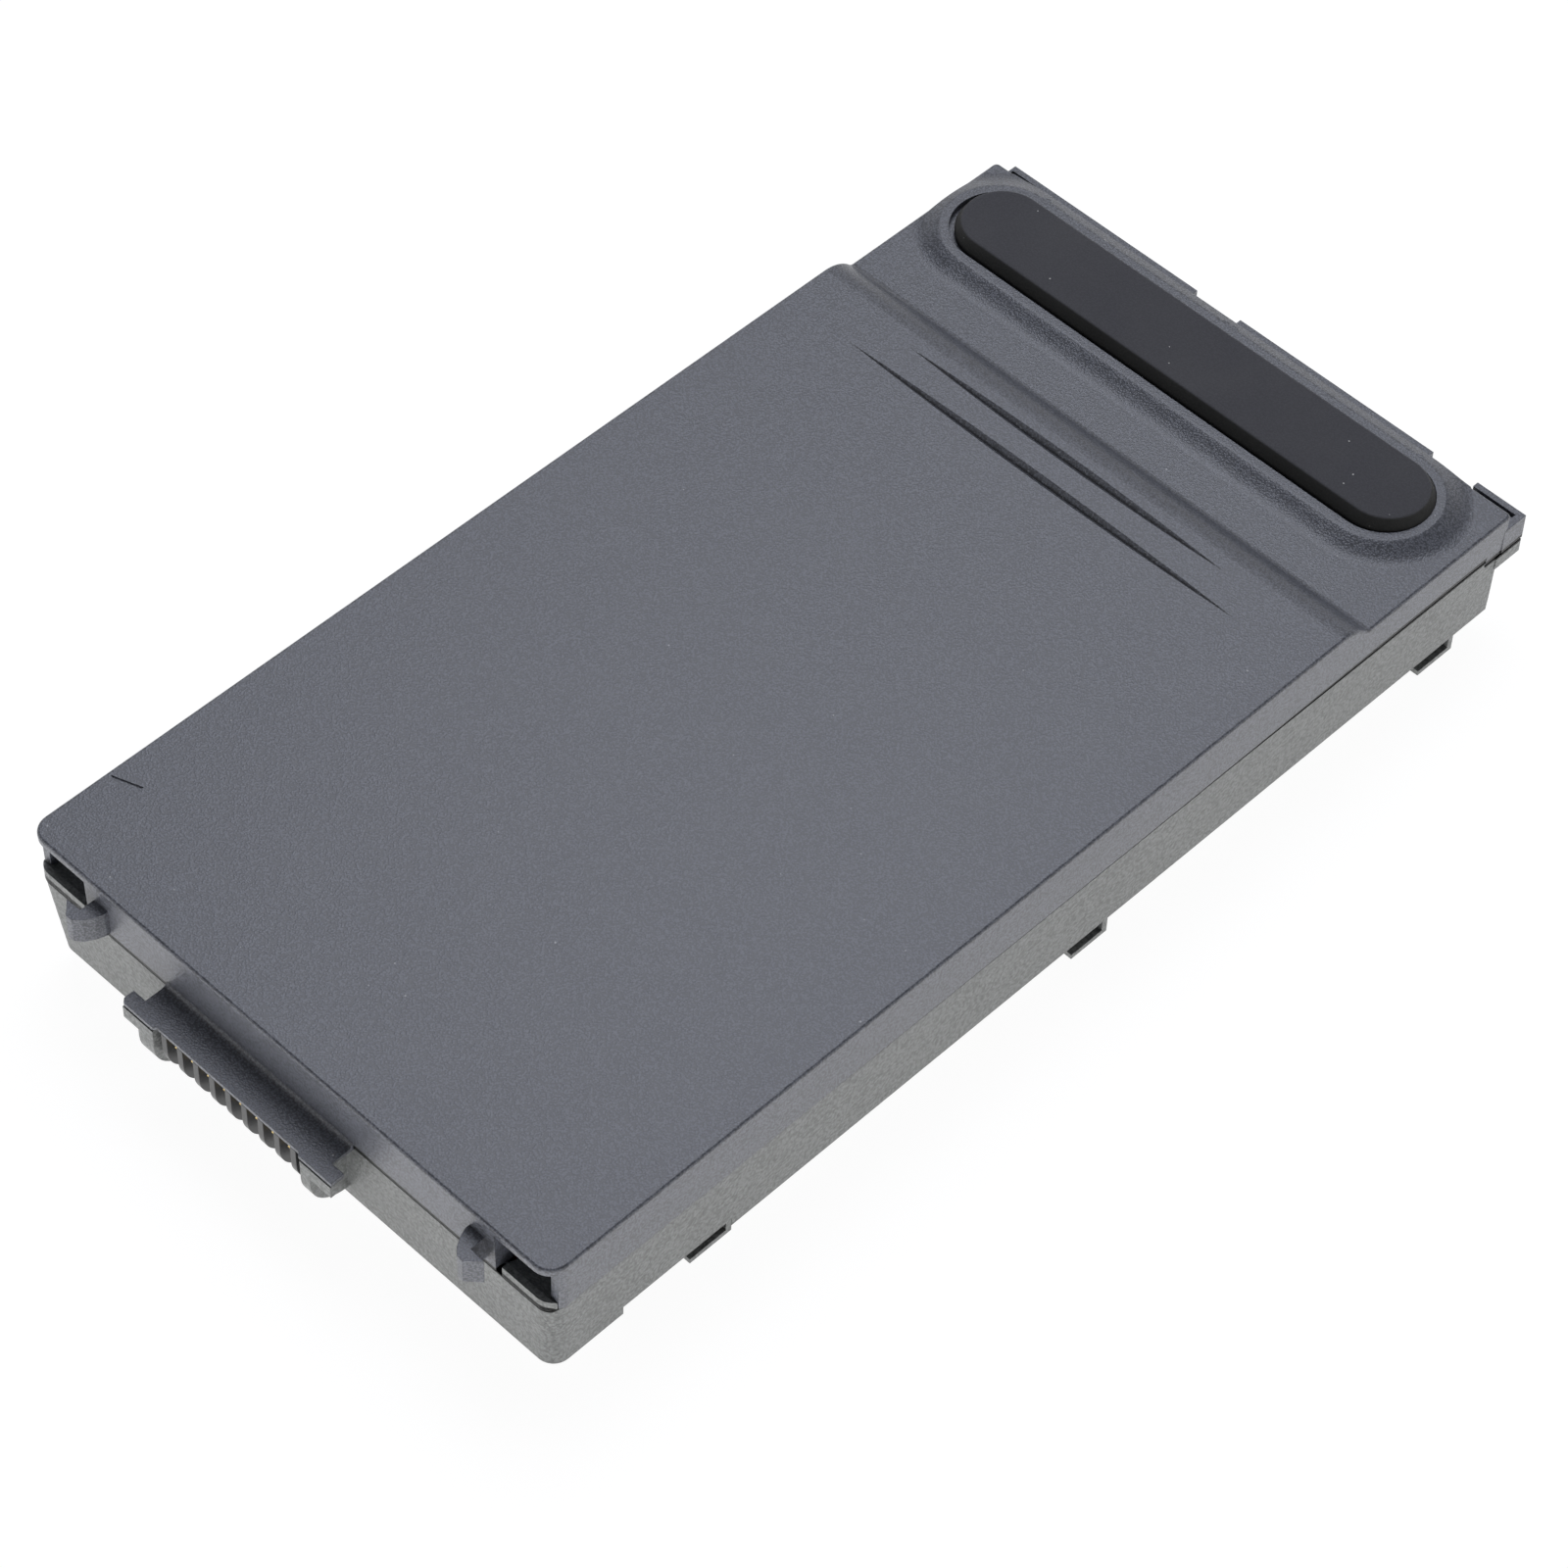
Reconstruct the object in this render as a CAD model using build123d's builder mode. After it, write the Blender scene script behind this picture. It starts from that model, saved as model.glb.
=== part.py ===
from build123d import *
import os

os.makedirs("parts", exist_ok=True)

# Cells: round cans, four across and two end to end
cell_rad = 9.2
cell_len = 65.0
cell_gap = 0.25
cell_pitch = 2 * cell_rad + cell_gap
columns = [1.5 * cell_pitch, 0.5 * cell_pitch, -0.5 * cell_pitch, -1.5 * cell_pitch]
cell_tape = 0.2
strap_thick = 0.25
paper_thick = 0.2
foam_thick = 1.2

# Case around the cells, as seen from above: connector end at -X, rubber foot at +X
skin = 1.2
wall = 1.6
fit = 0.1
floor_z = 1.0
lead_room = 2.0
rail_wid = 4.5
belly_in = 2 * cell_pitch + lead_room
belly_half = belly_in + skin
half_wid = belly_half + rail_wid
case_wid = 2 * half_wid
case_top = floor_z + cell_tape + 2 * cell_rad + foam_thick + skin
board_room = 7.2
foot_room = 31.15
case_len = board_room + 2 * cell_len + strap_thick + foot_room
wing_out = 5.2
flange_out = 3.2
x_conn = (wing_out - flange_out - case_len) / 2
x_mid = x_conn + case_len / 2
x_foot = x_conn + case_len
cell_z = floor_z + cell_tape + cell_rad
row_a = x_conn + board_room
row_mid = row_a + cell_len
row_b = row_mid + strap_thick
row_end = row_b + cell_len

# Cover: parting line, draft, corner rounds, and the lower step at the foot end
part_z = 13.9
foot_drop = 2.44
foot_z = case_top - foot_drop
draft = 1.3
edge_round = 0.4
cover_corner = 2.8
foot_corner = 0.8

# Ramp between the main plate and the foot end
ramp_x = row_end - 2.15
ramp_len = 5.6
brow_share = 0.8
ramp_skin_shift = 0.1

# End wall at the connector, set back a little below the lip
end_set = 0.3
end_inner = x_conn + 2.1
side_inner = half_wid - wall
foot_inner = x_foot - 1.8

# Step of the parting line near the foot end, the gap it opens to, and the seam in the end wall
jog_x = x_foot - 4.1
jog_z = part_z - 0.9
gap_foot = 0.3
end_seam = 0.22
end_seam_deep = 1.2

# Flange with latch notches beyond the foot end
flange_x = x_foot + flange_out
flange_top = part_z + 3.1
flange_low = part_z - 3.4
slot_in = flange_x - 1.6
slot_out = flange_x - 0.9
channel_z = flange_top - 1.6
flange_runs = [(half_wid - 0.7, 11.3), (3.7, 15.5 - half_wid), (8.1 - half_wid, 0.1 - half_wid)]
channel_runs = [(half_wid - 1.1, half_wid - 7.35), (3.8, 15.4 - half_wid), (8.2 - half_wid, 1.1 - half_wid)]

# Rubber foot: a long tapered pad in the well of a raised collar
collar_x = x_foot - 10.0
collar_y = 1.76
collar_half = half_wid - 11.8
collar_rad = 8.1
flank_wid = 3.8
flank_toe = 1.5
flank_brow = 0.5
collar_base = collar_rad + flank_wid
collar_top = foot_z + 1.24
well_rad = collar_rad - 1.15
pad_seat = collar_top - 0.9
pad_x = collar_x + 0.15
pad_y = collar_y - 0.36
pad_half = collar_half
pad_rad = well_rad - 0.45
pad_taper = 17.0
pad_top = collar_top + 1.6
pad_edge = 0.25
tape_thick = 0.15
tape_in = 0.3

# Finger grooves and the arrow mark
groove_deep = 0.75
groove_lines = [(ramp_x - 7.15, half_wid - 11.9), (ramp_x - 2.2, half_wid - 18.2)]
mark_deep = 0.2
mark_points = [(x_conn + 12.45, half_wid - 0.7), (x_conn + 11.0, half_wid - 4.9),
               (x_conn + 14.0, half_wid - 4.9)]

# Corner pockets and hook tabs at the connector end
lip_low = case_top - 1.1
pocket_back = x_conn + 4.5
pocket_band = x_conn + 1.6
pocket_wall = 1.2
tab_low = part_z + 0.9
tab_top = case_top - 3.1
tab_roots = [(1, half_wid - 11.8), (-1, half_wid - 10.8)]
ledge_top = part_z + 1.5
ledge_gap = 2.5
case_corner = 2.4

# Connector: plate of the cover, fins of the housing, blocks of the lower case
conn_y = 4.4
fin_count = 9
fin_pitch = 2.83
fin_thick = 0.95
block_in = (fin_count - 1) / 2 * fin_pitch + 1.58
block_out = block_in + 2.7
block_widths = [(1, block_out), (-1, block_out - 1.0)]
plate_top = part_z + 0.1
plate_thick = 0.55
plate_x = x_conn - 4.8
wing_x = x_conn - wing_out
wing_back = x_conn - 3.2
neck_half = block_out + 0.7
wing_half = block_out + 2.8
plate_step = block_in - 0.1
root_round = 1.0
block_low = 4.1
block_round = 5.5
block_top = part_z - 0.9
wing_low = part_z - 2.9
fin_x = plate_x
fin_back = x_conn - 1.4
fin_root = x_conn + 0.15
fin_low = 5.4
body_low = part_z - 5.5
fin_top = plate_top - plate_thick - fit
contact_z = part_z - 3.0
contact_thick = 0.4

# Lower case: walls that lean in to the rails, belly between the rails, hooks beside the belly
rail_z = 2.4
rim_half = half_wid - 0.2
flank_low = half_wid - 2.8
rail_half = half_wid - 0.34
end_lean = 0.14
low_edge = 0.25
floor_thick = 1.6
tongue_seat = 0.2
belly_start = x_conn + 3.5
belly_end = x_foot - 6.1
belly_edge = 0.8
case_foot_top = x_foot - 0.9
case_foot_low = x_foot - 1.8
hook_runs = [(x_conn + 22.4, x_conn + 29.2, 1.65), (x_mid + 3.7, x_mid + 10.1, 0.0),
             (x_foot - 14.8, x_foot - 8.1, 0.0)]
hook_thick = 0.8
hook_wall = 0.9
hook_half = half_wid - 0.4
notch_z = rail_z + 1.6
notch_run = (x_conn + 11.6, hook_runs[0][1])

# Circuit board behind the connector, with the leads beside the cells
board_x = x_conn + 2.9
board_thick = 1.0
board_face = board_x + board_thick
board_y = (17.0 - half_wid, half_wid - 13.0)
board_z = (rail_z + floor_thick, part_z + 3.15)
lead_rad = 0.6
thermistor_rad = 1.0
lead_y = columns[0] + cell_rad + thermistor_rad + 0.075
lead_z = board_z[0] + 2.0
foot_lead_z = lead_z + 5.5


# Collar round the rubber foot: a mound with hollow flanks, straight between two turned ends
with BuildPart() as collar:
    with BuildSketch(Plane.XZ.offset(-collar_y)):
        with BuildLine():
            near_flank = Bezier((collar_x - collar_base, foot_z),
                                (collar_x - collar_base + flank_toe, foot_z),
                                (collar_x - collar_rad - flank_brow, collar_top),
                                (collar_x - collar_rad, collar_top))
            Polyline(near_flank @ 1, (collar_x + collar_rad, collar_top))
            far_flank = Bezier((collar_x + collar_rad, collar_top),
                               (collar_x + collar_rad + flank_brow, collar_top),
                               (collar_x + collar_base - flank_toe, foot_z),
                               (collar_x + collar_base, foot_z))
            Polyline(far_flank @ 1, (collar_x + collar_base, foot_z - 0.3),
                     (collar_x - collar_base, foot_z - 0.3), near_flank @ 0)
        make_face()
    extrude(amount=collar_half, both=True)
    for y_end in (collar_y + collar_half, collar_y - collar_half):
        with BuildSketch(Plane.XZ.offset(-y_end)):
            with BuildLine():
                flank = Bezier((collar_x + collar_base, foot_z),
                               (collar_x + collar_base - flank_toe, foot_z),
                               (collar_x + collar_rad + flank_brow, collar_top),
                               (collar_x + collar_rad, collar_top))
                Polyline(flank @ 1, (collar_x, collar_top), (collar_x, foot_z - 0.3),
                         (collar_x + collar_base, foot_z - 0.3), flank @ 0)
            make_face()
        revolve(axis=Axis((collar_x, y_end, 0), (0, 0, 1)))
    with BuildSketch(Plane.XY.offset(foot_z - 1)):
        with Locations((x_foot - 20.1, 0)):
            Rectangle(40, case_wid - 1.0)
    extrude(amount=5, mode=Mode.INTERSECT)


# Top cover
with BuildPart() as top_cover:
    # Drafted shell outline, rounded at the connector end
    with BuildSketch(Plane.XY.offset(case_top)) as outline:
        with Locations(((x_conn + x_foot) / 2, 0)):
            Rectangle(case_len, case_wid)
        fillet(outline.vertices().group_by(Axis.X)[0], cover_corner)
        fillet(outline.vertices().group_by(Axis.X)[-1], foot_corner)
    extrude(amount=case_top - jog_z, dir=(0, 0, -1), taper=draft)
    # Ramp down to the foot end
    with BuildSketch(Plane.XZ):
        with BuildLine():
            brow = TangentArc((ramp_x, case_top),
                              (ramp_x + ramp_len * brow_share, case_top - foot_drop * brow_share),
                              tangent=(1, 0))
            toe = TangentArc(brow @ 1, (ramp_x + ramp_len, foot_z), tangent=brow % 1)
            Polyline(toe @ 1, (x_foot + 5, foot_z), (x_foot + 5, case_top + 5),
                     (ramp_x, case_top + 5), brow @ 0)
        make_face()
    extrude(amount=half_wid + 5, both=True, mode=Mode.SUBTRACT)
    rim = top_cover.edges().filter_by(
        lambda e: e.center().Z > foot_z - 0.1
        and (abs(e.center().Y) > half_wid - 1.3 or e.center().X < x_conn + 1.3))
    fillet(rim, edge_round)
    # Collar, and the well in it for the rubber foot
    add(collar.part)
    with BuildSketch(Plane.XY.offset(pad_seat)):
        with Locations((collar_x, collar_y)):
            SlotOverall(2 * (collar_half + well_rad), 2 * well_rad, rotation=90)
    extrude(amount=5, mode=Mode.SUBTRACT)
    # Skirt ends at the parting line, lower beyond the step
    with BuildSketch(Plane.XY.offset(jog_z - 1)):
        with Locations(((x_conn - 5 + jog_x) / 2, 0)):
            Rectangle(jog_x - x_conn + 5, case_wid + 5)
    extrude(amount=part_z - jog_z + 1, mode=Mode.SUBTRACT)
    # Hollow inside, following the ramp
    with BuildSketch(Plane.XZ):
        with BuildLine():
            brow_in = TangentArc((ramp_x - ramp_skin_shift, case_top - skin),
                                 (ramp_x - ramp_skin_shift + ramp_len * brow_share,
                                  case_top - skin - foot_drop * brow_share), tangent=(1, 0))
            toe_in = TangentArc(brow_in @ 1, (ramp_x - ramp_skin_shift + ramp_len, foot_z - skin),
                                tangent=brow_in % 1)
            Polyline(toe_in @ 1, (foot_inner, foot_z - skin), (foot_inner, jog_z - 2),
                     (end_inner, jog_z - 2), (end_inner, case_top - skin), brow_in @ 0)
        make_face()
    extrude(amount=side_inner, both=True, mode=Mode.SUBTRACT)
    # Corner pockets under the lip, walled off from the inside
    for side, root in tab_roots:
        pocket_y = root + 1.6
        with BuildSketch(Plane.XY.offset(part_z)):
            with Locations(((end_inner + pocket_back + pocket_wall) / 2,
                            side * (pocket_y - pocket_wall + side_inner) / 2)):
                Rectangle(pocket_back + pocket_wall - end_inner + 0.4,
                          side_inner - pocket_y + pocket_wall + 0.4)
        extrude(amount=case_top - skin - part_z + 0.1)
        with BuildSketch(Plane.XY.offset(part_z - 0.5)):
            with Locations(((x_conn - 2 + pocket_back) / 2, side * (pocket_y + side_inner) / 2)):
                Rectangle(pocket_back - x_conn + 2, side_inner - pocket_y)
            with Locations(((x_conn - 2 + pocket_band) / 2, side * (side_inner + 2))):
                Rectangle(pocket_band - x_conn + 2, 4.2)
        extrude(amount=lip_low - part_z + 0.5, mode=Mode.SUBTRACT)
        # Hook tab beside the pocket
        with BuildSketch(Plane.XY.offset(tab_low)):
            with BuildLine():
                Polyline((x_conn + 1.0, side * (root - 2.5)), (x_conn - 0.5, side * (root - 2.5)),
                         (x_conn - 1.65, side * (root - 2.1)), (x_conn - 2.94, side * (root - 1.35)),
                         (x_conn - 3.8, side * (root - 0.4)), (x_conn - 3.86, side * (root + 0.5)),
                         (x_conn - 2.2, side * (root + 2.3)), (x_conn - 2.05, side * root),
                         (x_conn + 1.0, side * root), close=True)
            make_face()
        extrude(amount=tab_top - tab_low)
    # Connector plate with its wings, and the round into the end wall
    with BuildSketch(Plane.XY.offset(plate_top - plate_thick)):
        with BuildLine():
            Polyline((end_inner - 0.1, conn_y + neck_half), (wing_back, conn_y + neck_half),
                     (wing_back, conn_y + wing_half), (wing_x + 0.5, conn_y + wing_half),
                     (wing_x, conn_y + wing_half - 0.5), (wing_x, conn_y + plate_step),
                     (plate_x, conn_y + plate_step - 0.4), (plate_x, conn_y - plate_step + 0.4),
                     (wing_x, conn_y - plate_step), (wing_x, conn_y - wing_half),
                     (wing_back, conn_y - wing_half), (wing_back, conn_y - neck_half),
                     (end_inner - 0.1, conn_y - neck_half), close=True)
        make_face()
    extrude(amount=plate_thick)
    with BuildSketch(Plane.XZ.offset(-conn_y)):
        with BuildLine():
            root_arc = TangentArc((x_conn + 0.2, plate_top + root_round),
                                  (x_conn + 0.2 - root_round, plate_top), tangent=(0, -1))
            Polyline(root_arc @ 1, (x_conn + 0.8, plate_top), (x_conn + 0.8, plate_top + root_round),
                     root_arc @ 0)
        make_face()
    extrude(amount=neck_half, both=True)
    # Flange at the foot end, with a slot along its upright edge
    for y_hi, y_lo in flange_runs:
        with BuildSketch(Plane.XY.offset(jog_z)):
            with Locations(((x_foot - 1 + flange_x) / 2, (y_hi + y_lo) / 2)):
                Rectangle(flange_x - x_foot + 1, y_hi - y_lo)
        extrude(amount=flange_top - jog_z)
    for y_hi, y_lo in channel_runs:
        with BuildSketch(Plane.XY.offset(channel_z)):
            with Locations(((slot_in + slot_out) / 2, (y_hi + y_lo) / 2)):
                Rectangle(slot_out - slot_in, y_hi - y_lo)
        extrude(amount=flange_top - channel_z, mode=Mode.SUBTRACT)
    # Finger grooves: V cuts of a large wheel, so that they run out to points
    for groove_x, groove_half in groove_lines:
        wheel = (groove_half ** 2 + groove_deep ** 2) / (2 * groove_deep)
        with BuildSketch(Plane.XZ):
            with BuildLine():
                Polyline((groove_x, case_top - groove_deep), (groove_x + 2.0, case_top - groove_deep + 2.0),
                         (groove_x - 2.0, case_top - groove_deep + 2.0), close=True)
            make_face()
        revolve(axis=Axis((0, 0, case_top - groove_deep + wheel), (1, 0, 0)), mode=Mode.SUBTRACT)
    # Arrow mark
    with BuildSketch(Plane.XY.offset(case_top - mark_deep)):
        with BuildLine():
            Polyline(*mark_points, close=True)
        make_face()
    extrude(amount=1, mode=Mode.SUBTRACT)
top_cover.part.label = "top_cover"
export_step(top_cover.part, "parts/top_cover.step")


# Lower case
with BuildPart() as lower_case:
    # Walls from the rim down to the rails; the +Y wall leans in most
    with BuildSketch(Plane.XY.offset(part_z)) as rim_line:
        with Locations(((x_conn + end_set + case_foot_top) / 2, 0)):
            Rectangle(case_foot_top - x_conn - end_set, 2 * rim_half)
        fillet(rim_line.vertices().group_by(Axis.X)[0], case_corner)
        fillet(rim_line.vertices().group_by(Axis.X)[-1], foot_corner)
    for level, inset in ((rail_z + low_edge, 0.0), (rail_z, low_edge)):
        with BuildSketch(Plane.XY.offset(level)) as rail_line:
            with Locations(((x_conn + end_set + case_foot_top) / 2, (flank_low - rail_half) / 2)):
                Rectangle(case_foot_top - x_conn - end_set - 2 * (end_lean + inset),
                          flank_low + rail_half - 2 * inset)
            fillet(rail_line.vertices().group_by(Axis.X)[0], case_corner - inset)
            fillet(rail_line.vertices().group_by(Axis.X)[-1], foot_corner - inset)
    loft(ruled=True)
    # Sloped end wall under the flange
    with BuildSketch(Plane.XZ):
        with BuildLine():
            Polyline((case_foot_top, flange_low), (case_foot_low, rail_z - 0.5),
                     (case_foot_top + 4, rail_z - 0.5), (case_foot_top + 4, flange_low), close=True)
        make_face()
    extrude(amount=half_wid + 5, both=True, mode=Mode.SUBTRACT)
    # Notch in the rails between the connector corner and the first hook
    for side in (1, -1):
        with BuildSketch(Plane.XY.offset(rail_z - 0.5)):
            with Locations(((notch_run[0] + notch_run[1]) / 2, side * (belly_half + half_wid) / 2)):
                Rectangle(notch_run[1] - notch_run[0], half_wid - belly_half)
        extrude(amount=notch_z - rail_z + 0.5, mode=Mode.SUBTRACT)
    # Belly
    with BuildSketch(Plane.XY.offset(rail_z + 1.4)) as belly:
        with Locations(((belly_start + belly_end) / 2, 0)):
            RectangleRounded(belly_end - belly_start, 2 * belly_half, 3.0)
    extrude(amount=rail_z + 1.4, dir=(0, 0, -1))
    chamfer(lower_case.faces().sort_by(Axis.Z)[0].edges(), belly_edge)
    # Flange under the flange of the cover
    for y_hi, y_lo in flange_runs:
        with BuildSketch(Plane.XY.offset(flange_low)):
            with Locations(((case_foot_top - 1 + flange_x) / 2, (y_hi + y_lo) / 2)):
                Rectangle(flange_x - case_foot_top + 0.8, y_hi - y_lo)
        extrude(amount=jog_z - flange_low)
    # Upper edge: the gap under the cover opens toward the foot end
    with BuildSketch(Plane.XZ):
        with BuildLine():
            Polyline((x_conn - 10, part_z - end_seam), (x_conn + end_seam_deep, part_z - end_seam),
                     (x_conn + end_seam_deep, part_z - fit / 2), (x_conn + 40, part_z - fit / 2),
                     (jog_x - 0.1, part_z - gap_foot), (jog_x - 0.1, jog_z - gap_foot),
                     (flange_x + 5, jog_z - gap_foot), (flange_x + 5, part_z + 5),
                     (x_conn - 10, part_z + 5), close=True)
        make_face()
    extrude(amount=half_wid + 5, both=True, mode=Mode.SUBTRACT)
    # Hollow inside: over the rails, and deeper in the belly
    with BuildSketch(Plane.XY.offset(rail_z + floor_thick)):
        with Locations(((end_inner + foot_inner - 2.0) / 2, (flank_low - half_wid + tongue_seat) / 2)):
            Rectangle(foot_inner - 2.0 - end_inner, half_wid + flank_low - 2 * wall - tongue_seat)
    extrude(amount=part_z, mode=Mode.SUBTRACT)
    with BuildSketch(Plane.XY.offset(floor_z)):
        with Locations(((belly_start + belly_end) / 2, 0)):
            Rectangle(belly_end - belly_start - 2.4, 2 * belly_in)
    extrude(amount=part_z, mode=Mode.SUBTRACT)
    # Rib that stops the cells, and tongues inside the cover walls
    with BuildSketch(Plane.XY.offset(floor_z - 0.1)):
        with Locations((row_end + strap_thick + paper_thick + 0.8, 0)):
            Rectangle(1.4, 2 * belly_in + 0.2)
    extrude(amount=cell_rad + 1.8)
    for side in (1, -1):
        with BuildSketch(Plane.XY.offset(part_z - 4)):
            with Locations(((x_conn + 9.0 + x_foot - 8.6) / 2, side * (side_inner - 0.6))):
                Rectangle(x_foot - 8.6 - x_conn - 9.0, 1.0)
        extrude(amount=5.2)
    # Corner ledges in the pockets of the cover, with hollowed tops
    for side, root in tab_roots:
        ledge_y = root + ledge_gap
        with BuildSketch(Plane.XY.offset(part_z - 0.5)):
            with BuildLine():
                Polyline((x_conn + end_set, side * ledge_y), (x_conn + end_set, side * rim_half),
                         (pocket_band - fit, side * rim_half),
                         (pocket_band - fit, side * (side_inner - fit)),
                         (pocket_back - 0.2, side * (side_inner - fit)),
                         (pocket_back - 0.2, side * ledge_y), close=True)
            make_face()
            with Locations((x_conn + end_set + 20, 0)):
                RectangleRounded(40, 2 * rim_half, case_corner, mode=Mode.INTERSECT)
        extrude(amount=ledge_top - part_z + 0.5)
        with BuildSketch(Plane.XZ):
            with Locations((x_conn + 3.9, ledge_top + 4.2)):
                Circle(5.0)
        extrude(amount=half_wid + 1, both=True, mode=Mode.SUBTRACT)
    # Opening in the end wall for the connector and for the plate of the cover
    with BuildSketch(Plane.YZ.offset(x_conn - 2)):
        with Locations((conn_y, (body_low - fit + part_z + 1) / 2)):
            Rectangle(2 * block_in, part_z + 1 - body_low + fit)
        with Locations((conn_y, part_z + 0.25)):
            Rectangle(2 * neck_half + 0.2, 2 * (part_z + 0.25 - plate_top + plate_thick + fit))
    extrude(amount=end_inner - x_conn + 2.1, mode=Mode.SUBTRACT)
    # End blocks beside the fins, rounded below, with thin wings
    for side, block_end in block_widths:
        with BuildSketch(Plane.XZ.offset(-conn_y - side * (block_in + block_end) / 2)):
            with BuildLine():
                nose = TangentArc((wing_x, block_low + block_round), (wing_x + block_round, block_low),
                                  tangent=(0, -1))
                Polyline(nose @ 1, (x_conn + 1.2, block_low), (x_conn + 1.2, block_top),
                         (wing_x, block_top), nose @ 0)
            make_face()
        extrude(amount=(block_end - block_in) / 2, both=True)
        with BuildSketch(Plane.XY.offset(wing_low)):
            with Locations(((wing_x + wing_back) / 2, conn_y + side * (block_end + wing_half - 0.2) / 2)):
                Rectangle(wing_back - wing_x, wing_half - 0.2 - block_end)
        extrude(amount=block_top - wing_low)
    # Hooks beside the belly, open toward the connector end
    for side, reach in ((1, flank_low), (-1, hook_half)):
        for hook_a, hook_b, hook_z in hook_runs:
            with BuildSketch(Plane.XZ.offset(-side * (belly_half - 0.5))):
                with BuildLine():
                    Polyline((hook_a, hook_z), (hook_b, hook_z), (hook_b, notch_z + 0.2),
                             (hook_b - hook_wall, notch_z + 0.2), (hook_b - hook_wall, hook_z + hook_thick),
                             (hook_a, hook_z + hook_thick), close=True)
                make_face()
            extrude(amount=-side * (reach - belly_half + 0.5))
lower_case.part.label = "lower_case"
export_step(lower_case.part, "parts/lower_case.step")


# Rubber foot and the adhesive under it
with BuildPart() as rubber_foot:
    with BuildSketch(Plane.XY.offset(pad_seat + tape_thick)):
        with Locations((pad_x, pad_y)):
            SlotOverall(2 * (pad_half + pad_rad), 2 * pad_rad, rotation=90)
    extrude(amount=collar_top - pad_seat - tape_thick)
    with BuildSketch(Plane.XY.offset(collar_top)):
        with Locations((pad_x, pad_y)):
            SlotOverall(2 * (pad_half + pad_rad), 2 * pad_rad, rotation=90)
    extrude(amount=pad_top - collar_top, taper=pad_taper)
    chamfer(rubber_foot.faces().sort_by(Axis.Z)[-1].edges(), pad_edge)
rubber_foot.part.label = "rubber_foot"
export_step(rubber_foot.part, "parts/rubber_foot.step")

with BuildPart() as foot_tape:
    with BuildSketch(Plane.XY.offset(pad_seat)):
        with Locations((pad_x, pad_y)):
            Rectangle(2 * (pad_rad - tape_in), 2 * pad_half)
    extrude(amount=tape_thick)
foot_tape.part.label = "foot_tape"
export_step(foot_tape.part, "parts/foot_tape.step")


# Connector housing: a body through the end wall, with a row of fins
fin_y = [conn_y + (fin_count - 1) / 2 * fin_pitch - i * fin_pitch for i in range(fin_count)]
contact_y = [y - fin_pitch / 2 for y in fin_y[:-1]]
body_half = block_in - fit
with BuildPart() as connector_housing:
    with BuildSketch(Plane.YZ.offset(fin_back)):
        with Locations((conn_y, (body_low + fin_top) / 2)):
            Rectangle(2 * body_half, fin_top - body_low)
    extrude(amount=end_inner - fin_back)
    with BuildSketch(Plane.YZ.offset(end_inner)):
        with Locations((conn_y, (body_low + fin_top) / 2 - 0.4)):
            Rectangle(2 * body_half + 1.6, fin_top - body_low + 0.8)
    extrude(amount=board_x - end_inner)
    for y_mid in fin_y:
        with BuildSketch(Plane.XZ.offset(-y_mid)):
            with BuildLine():
                fin_nose = TangentArc((fin_x, fin_low + fin_root - fin_x), (fin_root, fin_low),
                                      tangent=(0, -1))
                Polyline(fin_nose @ 1, (fin_root, fin_top), (fin_x, fin_top), fin_nose @ 0)
            make_face()
        extrude(amount=fin_thick / 2, both=True)
    for y_mid in contact_y:
        with BuildSketch(Plane.YZ.offset(fin_back - 0.1)):
            with Locations((y_mid, contact_z)):
                Rectangle(contact_thick + 0.04, 0.74)
        extrude(amount=board_x - fin_back + 0.2, mode=Mode.SUBTRACT)
connector_housing.part.label = "connector_housing"
export_step(connector_housing.part, "parts/connector_housing.step")


# Spring contacts: a fork in each slot, with a tail to the board
for number, y_mid in enumerate(contact_y, start=1):
    with BuildPart() as contact:
        with BuildSketch(Plane.XZ.offset(-y_mid)):
            with BuildLine():
                Polyline((board_x, contact_z - 0.35), (board_x, contact_z + 0.35),
                         (fin_back - 0.05, contact_z + 0.35), (fin_back - 0.05, contact_z + 1.4),
                         (fin_x + 0.9, contact_z + 1.2), (fin_x + 0.6, contact_z + 0.8),
                         (fin_x + 0.9, contact_z + 0.45), (fin_back - 0.8, contact_z + 0.65),
                         (fin_back - 0.8, contact_z - 0.65), (fin_x + 1.4, contact_z - 0.45),
                         (fin_x + 1.1, contact_z - 0.8), (fin_x + 1.4, contact_z - 1.2),
                         (fin_back - 0.05, contact_z - 1.4), (fin_back - 0.05, contact_z - 0.35), close=True)
            make_face()
        extrude(amount=contact_thick / 2, both=True)
    contact.part.label = f"contact_{number}"
    export_step(contact.part, f"parts/contact_{number}.step")


# Cells: turned cans with a button at the positive end
for number in range(8):
    row, column = divmod(number, 4)
    cell_y = columns[column]
    start = row_a if row == 0 else row_b
    plus_to_conn = column < 2
    if plus_to_conn:
        base = Plane(origin=(start + cell_len, cell_y, cell_z), x_dir=(-1, 0, 0), z_dir=(0, 1, 0))
    else:
        base = Plane(origin=(start, cell_y, cell_z), x_dir=(1, 0, 0), z_dir=(0, -1, 0))
    with BuildPart() as cell:
        with BuildSketch(base):
            with BuildLine():
                Polyline((0, 0), (0, cell_rad), (cell_len - 0.5, cell_rad), (cell_len - 0.5, 3.2),
                         (cell_len, 2.8), (cell_len, 0), close=True)
            make_face()
        revolve(axis=Axis((start, cell_y, cell_z), (1, 0, 0)))
    cell.part.label = f"cell_{number + 1}"
    export_step(cell.part, f"parts/cell_{number + 1}.step")


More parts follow.
